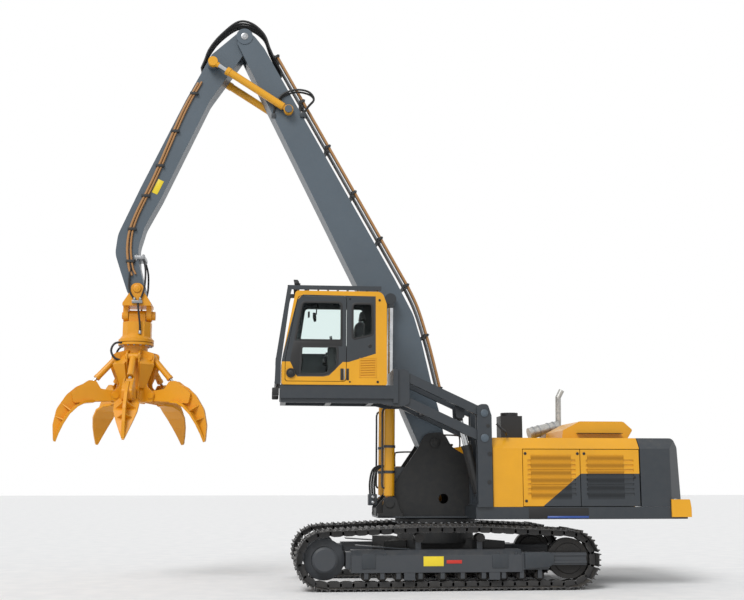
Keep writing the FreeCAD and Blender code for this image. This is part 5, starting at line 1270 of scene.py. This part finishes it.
# %% Seat frame
chair_bm = bmesh.new()
add_prism(chair_bm, [(-2.04, 3.681), (-2.04, 3.70), (-1.56, 3.70), (-1.50, 3.80), (-1.41, 4.30),
                     (-1.38, 4.30),
                     (-1.46, 3.78), (-1.50, 3.681)], SEAT_Y - 0.18, SEAT_Y + 0.18, 0.008)
for y in (-0.26, 0.26):
    arm = [(-1.95, 3.905), (-1.93, 3.955), (-1.50, 3.955), (-1.46, 3.90)]
    add_prism(chair_bm, arm, SEAT_Y + y - 0.035, SEAT_Y + y + 0.035, 0.012)
add_prism(chair_bm, [(-1.44, 4.42), (-1.42, 4.56), (-1.36, 4.57), (-1.33, 4.43)], SEAT_Y - 0.12,
          SEAT_Y + 0.12, 0.02)
for y in (-0.06, 0.06):
    add_pipe(chair_bm, [at(-1.40, SEAT_Y + y, 4.36), at(-1.385, SEAT_Y + y, 4.46)], 0.008, 8)
close(chair_bm, "seat_shell_and_arms", "cab", plastic)
print("seat with shell, arm rests and headrest")

# %% [markdown]
# ## Hoses, bands and fittings
# Two sets of hoses bridge the grab's joints: one round the grab pin from the stick's head to the
# hanger, and one round
# the cross pin down to the grab's head. Each has a fitting at either end.

# %% Grab hoses
hanger_hose_bm, head_hose_bm, fitting_bm, head_fitting_bm, stick_fitting_bm = (bmesh.new() for _ in range(5))
for side in (-1, 1):
    y = 0.235 * side
    outer = [(-5.30, y * 0.86, 5.62), (-5.385, y, 5.42), (-5.403, y * 1.1, 5.123), (-5.37, y * 1.14, 4.98),
             (-5.30, y * 1.14, 4.87)]
    inner = [(-5.18, y * 0.7, 5.62), (-5.13, y * 0.98, 5.40), (-5.13, y * 1.14, 5.123),
             (-5.16, y * 1.14, 4.98),
             (-5.20, y * 1.14, 4.87)]
    for line in (outer, inner):
        add_pipe(hanger_hose_bm, smooth_path(line), 0.017, 8)
        add_lathe(stick_fitting_bm, [(-0.07, 0.014), (-0.06, 0.024), (0.03, 0.024), (0.05, 0.02),
                                     (0.05, 0.012)], line[0],
                  (0, 0, -1), 10)
        add_lathe(fitting_bm, [(-0.03, 0.02), (-0.02, 0.026), (0.02, 0.026), (0.03, 0.02)], line[-1],
                  (0, 0, -1), 10)
    add_box(fitting_bm, (-5.34, y * 1.14 - 0.03, 4.80), (-5.16, y * 1.14 + 0.03, 4.85), 0.004)
    down = [(-5.24, y * 1.14, 4.81), (-5.215, y * 1.2, 4.62), (-5.19, y * 1.15, 4.42), (-5.19, y, 4.30)]
    add_pipe(head_hose_bm, smooth_path(down), 0.017, 8)
    add_lathe(head_fitting_bm, [(-0.03, 0.02), (-0.02, 0.026), (0.03, 0.026), (0.04, 0.014)], down[-1],
              (0, 0, -1), 10)
add_box(stick_fitting_bm, (-5.33, -0.225, 5.60), (-5.15, 0.225, 5.66), 0.006)
hanger_hoses = close(hanger_hose_bm, "grab_hoses_upper", None, rubber)
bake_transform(hanger_hoses)
head_hoses = close(head_hose_bm, "grab_hoses_lower", None, rubber)
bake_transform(head_hoses)
close(stick_fitting_bm, "stick_hose_block", "stick", zinc)
close(fitting_bm, "hanger_hose_fittings", "hanger", zinc)
close(head_fitting_bm, "head_hose_fittings", "grab_head", zinc)
print("grab hoses: 6, fittings at both ends")

# %% Hose loops
loop_bm, dark_loop_bm, clamp_bm = bmesh.new(), bmesh.new(), bmesh.new()
for y, shift in ((-0.30, 0.0), (-0.335, 0.035)):
    add_pipe(loop_bm, smooth_path([(-2.93, y + 0.05, 8.30 + shift), (-2.86, y, 8.52 + shift),
                                   (-2.74, y, 8.66 + shift),
                                   (-2.52, y, 8.735 + shift), (-2.30, y, 8.70 + shift), (-2.205, y, 8.60),
                                   (-2.30, y + 0.01, 8.47), (-2.40, y + 0.03, 8.33)]), 0.019, 8)
close(loop_bm, "boom_hose_loop", "boom", rubber)
add_box(clamp_bm, (-2.97, -0.31, 8.24), (-2.89, -0.225, 8.32), 0.005)
add_box(clamp_bm, (-2.45, -0.33, 8.26), (-2.35, -0.225, 8.35), 0.005)
close(clamp_bm, "boom_loop_clamps", "boom", dark_paint)
add_pipe(dark_loop_bm, smooth_path([(-5.42, -0.18, 4.12), (-5.60, -0.24, 4.10), (-5.665, -0.26, 3.97),
                                    (-5.60, -0.25, 3.84), (-5.46, -0.22, 3.80)]), 0.019, 8)
add_pipe(dark_loop_bm, smooth_path([(-5.42, 0.18, 4.12), (-5.58, 0.24, 4.08), (-5.64, 0.26, 3.97),
                                    (-5.58, 0.25, 3.86), (-5.46, 0.22, 3.80)]), 0.019, 8)
close(dark_loop_bm, "hub_hose_loops", "grab_hub", rubber)
print("hose loops: 4")

# %% Bands and pipes of the boom's cylinders
RAM_Y, RAM_RADIUS = 0.49, 0.092
band_bm, pipe_bm = bmesh.new(), bmesh.new()
RAM_FOOT, RAM_HEAD = (-0.865, 1.372), (-0.832, 4.9)
slope = (RAM_HEAD[0] - RAM_FOOT[0]) / (RAM_HEAD[1] - RAM_FOOT[1])
for side in (-1, 1):
    for z in (1.896, 2.327):
        centre = (RAM_FOOT[0] + slope * (z - RAM_FOOT[1]), RAM_Y * side, z)
        add_lathe(band_bm, [(-0.022, RAM_RADIUS - 0.004), (-0.022, RAM_RADIUS + 0.012),
                            (0.022, RAM_RADIUS + 0.012),
                            (0.022, RAM_RADIUS - 0.004)], centre, (slope, 0, 1), 32, True)
    y = (RAM_Y + 0.03) * side
    add_pipe(pipe_bm, smooth_path([(-0.93, y, 1.62), (-0.985, y, 1.66), (-0.985, y, 1.9), (-0.98, y, 2.7),
                                   (-0.975, y, 2.93), (-0.925, y, 2.99)]), 0.017, 8)
close(band_bm, "boom_ram_bands", "boom_ram_barrels", dark_paint)
close(pipe_bm, "boom_ram_pipes", "boom_ram_barrels", dark_paint)
print("boom cylinders: 4 bands, 2 pipes")

# %% Valve, box and hoses at the pedestal
valve_bm, feed_bm, steel_bm = bmesh.new(), bmesh.new(), bmesh.new()
add_box(valve_bm, (-1.21, -0.40, 1.33), (-1.06, -0.24, 1.52), 0.008)
add_box(valve_bm, (-0.806, -0.33, 1.43), (-0.56, -0.305, 1.98), 0.008)
for z in (1.38, 1.47):
    add_lathe(steel_bm, [(0, 0.026), (0.03, 0.026), (0.034, 0.018), (0.06, 0.018)], (-1.135, -0.40, z),
              (0, -1, 0), 10)
for offset in (-0.04, 0.0, 0.04):
    add_pipe(feed_bm, smooth_path([(-1.135 + offset, -0.32, 1.51), (-1.14 + offset, -0.33, 1.72),
                                   (-1.09 + offset, -0.33, 1.93), (-0.96 + offset, -0.30, 2.0),
                                   (-0.80 + offset, -0.26, 1.97), (-0.66, -0.22 + offset, 1.86)]), 0.018, 8)
add_pipe(feed_bm, smooth_path([(0.83, -1.44, 2.68), (0.90, -1.45, 2.60), (0.98, -1.42, 2.54),
                               (1.02, -1.30, 2.50)]),
         0.02, 8)
close(valve_bm, "pedestal_valve_and_box", "upper", dark_paint)
close(feed_bm, "pedestal_hoses", "upper", rubber)
close(steel_bm, "valve_ports", "upper", zinc)
print("pedestal: valve, box and hoses")

# %% Caps on pins
cap_bm = bmesh.new()
CAP = [(-0.004, 0.085), (0.008, 0.085), (0.012, 0.078), (0.012, 0.05), (0.018, 0.045), (0.018, 0.01)]
for side in (-1, 1):
    add_lathe(cap_bm, CAP, (-0.05, 0.412 * side, 2.4), (0, side, 0), 28)
close(cap_bm, "boom_foot_caps", "boom", black_paint)
print("pin caps: 2")

# %% Riser bosses, muffler bands and painted shade in holes and a slot
boss_bm, hole_shade_bm, muffler_bm = (bmesh.new() for _ in range(3))
RISER_Y = -1.477
for x, z, radius in ((0.62, 2.85, 0.062), (0.62, 2.44, 0.066)):
    add_lathe(boss_bm, [(-0.004, radius), (0.012, radius), (0.016, radius - 0.006), (0.016, 0.04),
                        (0.024, 0.036),
                        (0.024, 0.008)], (x, RISER_Y, z), (0, -1, 0), 26)
# Thin black discs at three of the riser's holes: their dark is painted shade inside the holes.
for x, z, radius in ((0.68, 2.64, 0.03), (0.70, 2.18, 0.036), (0.69, 1.72, 0.036)):
    add_lathe(hole_shade_bm, [(-0.003, radius), (0.004, radius), (0.004, 0.004)], (x, RISER_Y, z), (0, -1, 0), 20)
close(boss_bm, "riser_bosses", "upper", slate_paint)
close(hole_shade_bm, "riser_holes", "upper", black_paint)
# A thin black sheet on the hood lid where its slot is: painted shade in the slot.
slot_shade_bm = bmesh.new()
add_box(slot_shade_bm, (2.33, -1.02, 2.545), (3.11, -0.78, 2.552), 0.002)
print("riser: 2 bosses, 3 holes")

# %% Tail bolts
tail_bm = bmesh.new()
for side in (-1, 1):
    for x, z in ((3.842, 1.403), (3.834, 1.233)):
        add_lathe(tail_bm, [(-0.003, 0.05), (0.010, 0.05), (0.014, 0.044), (0.014, 0.026), (0.034, 0.026),
                            (0.038, 0.02), (0.038, 0.004)], (x, 1.402 * side, z), (0, side, 0), 18)
close(tail_bm, "tail_plate_bolts", "upper", zinc)
print("tail plates: 4 bolts")

# %% Roof, muffler and the right side
ROOF_Z = size_of("air_cleaner")[0].z
rail_bm, step_bm, glass_bm, black_bm = (bmesh.new() for _ in range(4))
muffler_way = Vector((0.57, 0.08, 0.14)).normalized()
for reach in (0.09, 0.20, 0.39, 0.50):
    middle = Vector((1.845, 0.56, ROOF_Z + 0.15)) + muffler_way * reach
    add_lathe(muffler_bm, [(-0.012, 0.104), (-0.012, 0.112), (0.012, 0.112), (0.012, 0.104)], middle,
              muffler_way, 24, True)
close(muffler_bm, "muffler_bands", "upper", zinc)
# The lid's slot as a black sheet: painted shade.
close(slot_shade_bm, "lid_slot", "hood_lid", black_plastic)
# the tank's filler, grab rails, steps and a mirror on the right side
add_lathe(black_bm, [(-0.01, 0.06), (0.03, 0.06), (0.035, 0.075), (0.06, 0.075), (0.068, 0.065),
                     (0.068, 0.02)],
          (0.42, 0.95, 2.36), (0, 0, 1), 24)
for x0, x1, low, high in ((0.14, 0.68, 2.33, 2.60), (-0.56, -0.04, 2.0, 2.28)):
    add_pipe(rail_bm, smooth_path([(x0, 1.30, low), (x0, 1.30, high - 0.06), (x0 + 0.06, 1.30, high),
                                   (x1 - 0.06, 1.30, high), (x1, 1.30, high - 0.06), (x1, 1.30, low)]),
                                   0.015, 8)
for z in (1.42, 1.68):
    add_box(step_bm, (-0.80, 0.86, z), (-0.685, 1.30, z + 0.02), 0.003)
    for y in (0.86, 1.28):
        add_box(step_bm, (-0.80, y, z - 0.06), (-0.685, y + 0.018, z), 0.002)
add_pipe(rail_bm, smooth_path([(-0.64, 1.36, 1.9), (-0.70, 1.37, 2.05), (-0.72, 1.38, 2.2),
                               (-0.72, 1.38, 2.42)]), 0.012, 8)
add_box(black_bm, (-0.75, 1.29, 2.20), (-0.725, 1.44, 2.46), 0.012)
add_box(glass_bm, (-0.723, 1.30, 2.215), (-0.719, 1.43, 2.445), 0.001)
close(rail_bm, "right_side_rails", "upper", black_paint)
close(step_bm, "right_side_steps", "upper", zinc)
close(black_bm, "filler_cap_and_mirror", "upper", black_plastic)
close(glass_bm, "mirror_glass", "upper", chrome)
print("right side: rails, steps, filler and mirror")

# %% Collars of the main pins
collar_bm, grab_collar_bm = (bmesh.new() for _ in range(2))
HEAD_PIN, HEAD_FACE = (-3.48, 9.775), 0.302
GRAB_PIN, CHEEK_FACE = (-5.262, 5.065), 0.257
COLLAR = [(-0.004, 0.066), (0.006, 0.066), (0.010, 0.060), (0.010, 0.034), (0.016, 0.030), (0.016, 0.006)]
for side in (-1, 1):
    add_lathe(collar_bm, COLLAR, (HEAD_PIN[0], HEAD_FACE * side, HEAD_PIN[1]), (0, side, 0), 26)
    add_lathe(grab_collar_bm, COLLAR, (GRAB_PIN[0], CHEEK_FACE * side, GRAB_PIN[1]), (0, side, 0), 26)
close(collar_bm, "boom_head_collars", "boom", zinc)
close(grab_collar_bm, "grab_pin_collars", "hanger", grab_paint)
print("pin collars: 4")

# %% Floor
FLOOR_HALF = 150
floor_mesh = bpy.data.meshes.new("floor")
floor_mesh.from_pydata([(-FLOOR_HALF, -FLOOR_HALF, 0), (FLOOR_HALF, -FLOOR_HALF, 0),
                        (FLOOR_HALF, FLOOR_HALF, 0),
                        (-FLOOR_HALF, FLOOR_HALF, 0)], [], [(0, 1, 2, 3)])
floor = bpy.data.objects.new("floor", floor_mesh)
scene.collection.objects.link(floor)
floor_look = grainy("pale_floor", (236, 237, 238), (244, 244, 244), 3.0, 0.0002, (0.8, 0.9))
floor_mesh.materials.append(floor_look)
print("floor laid")
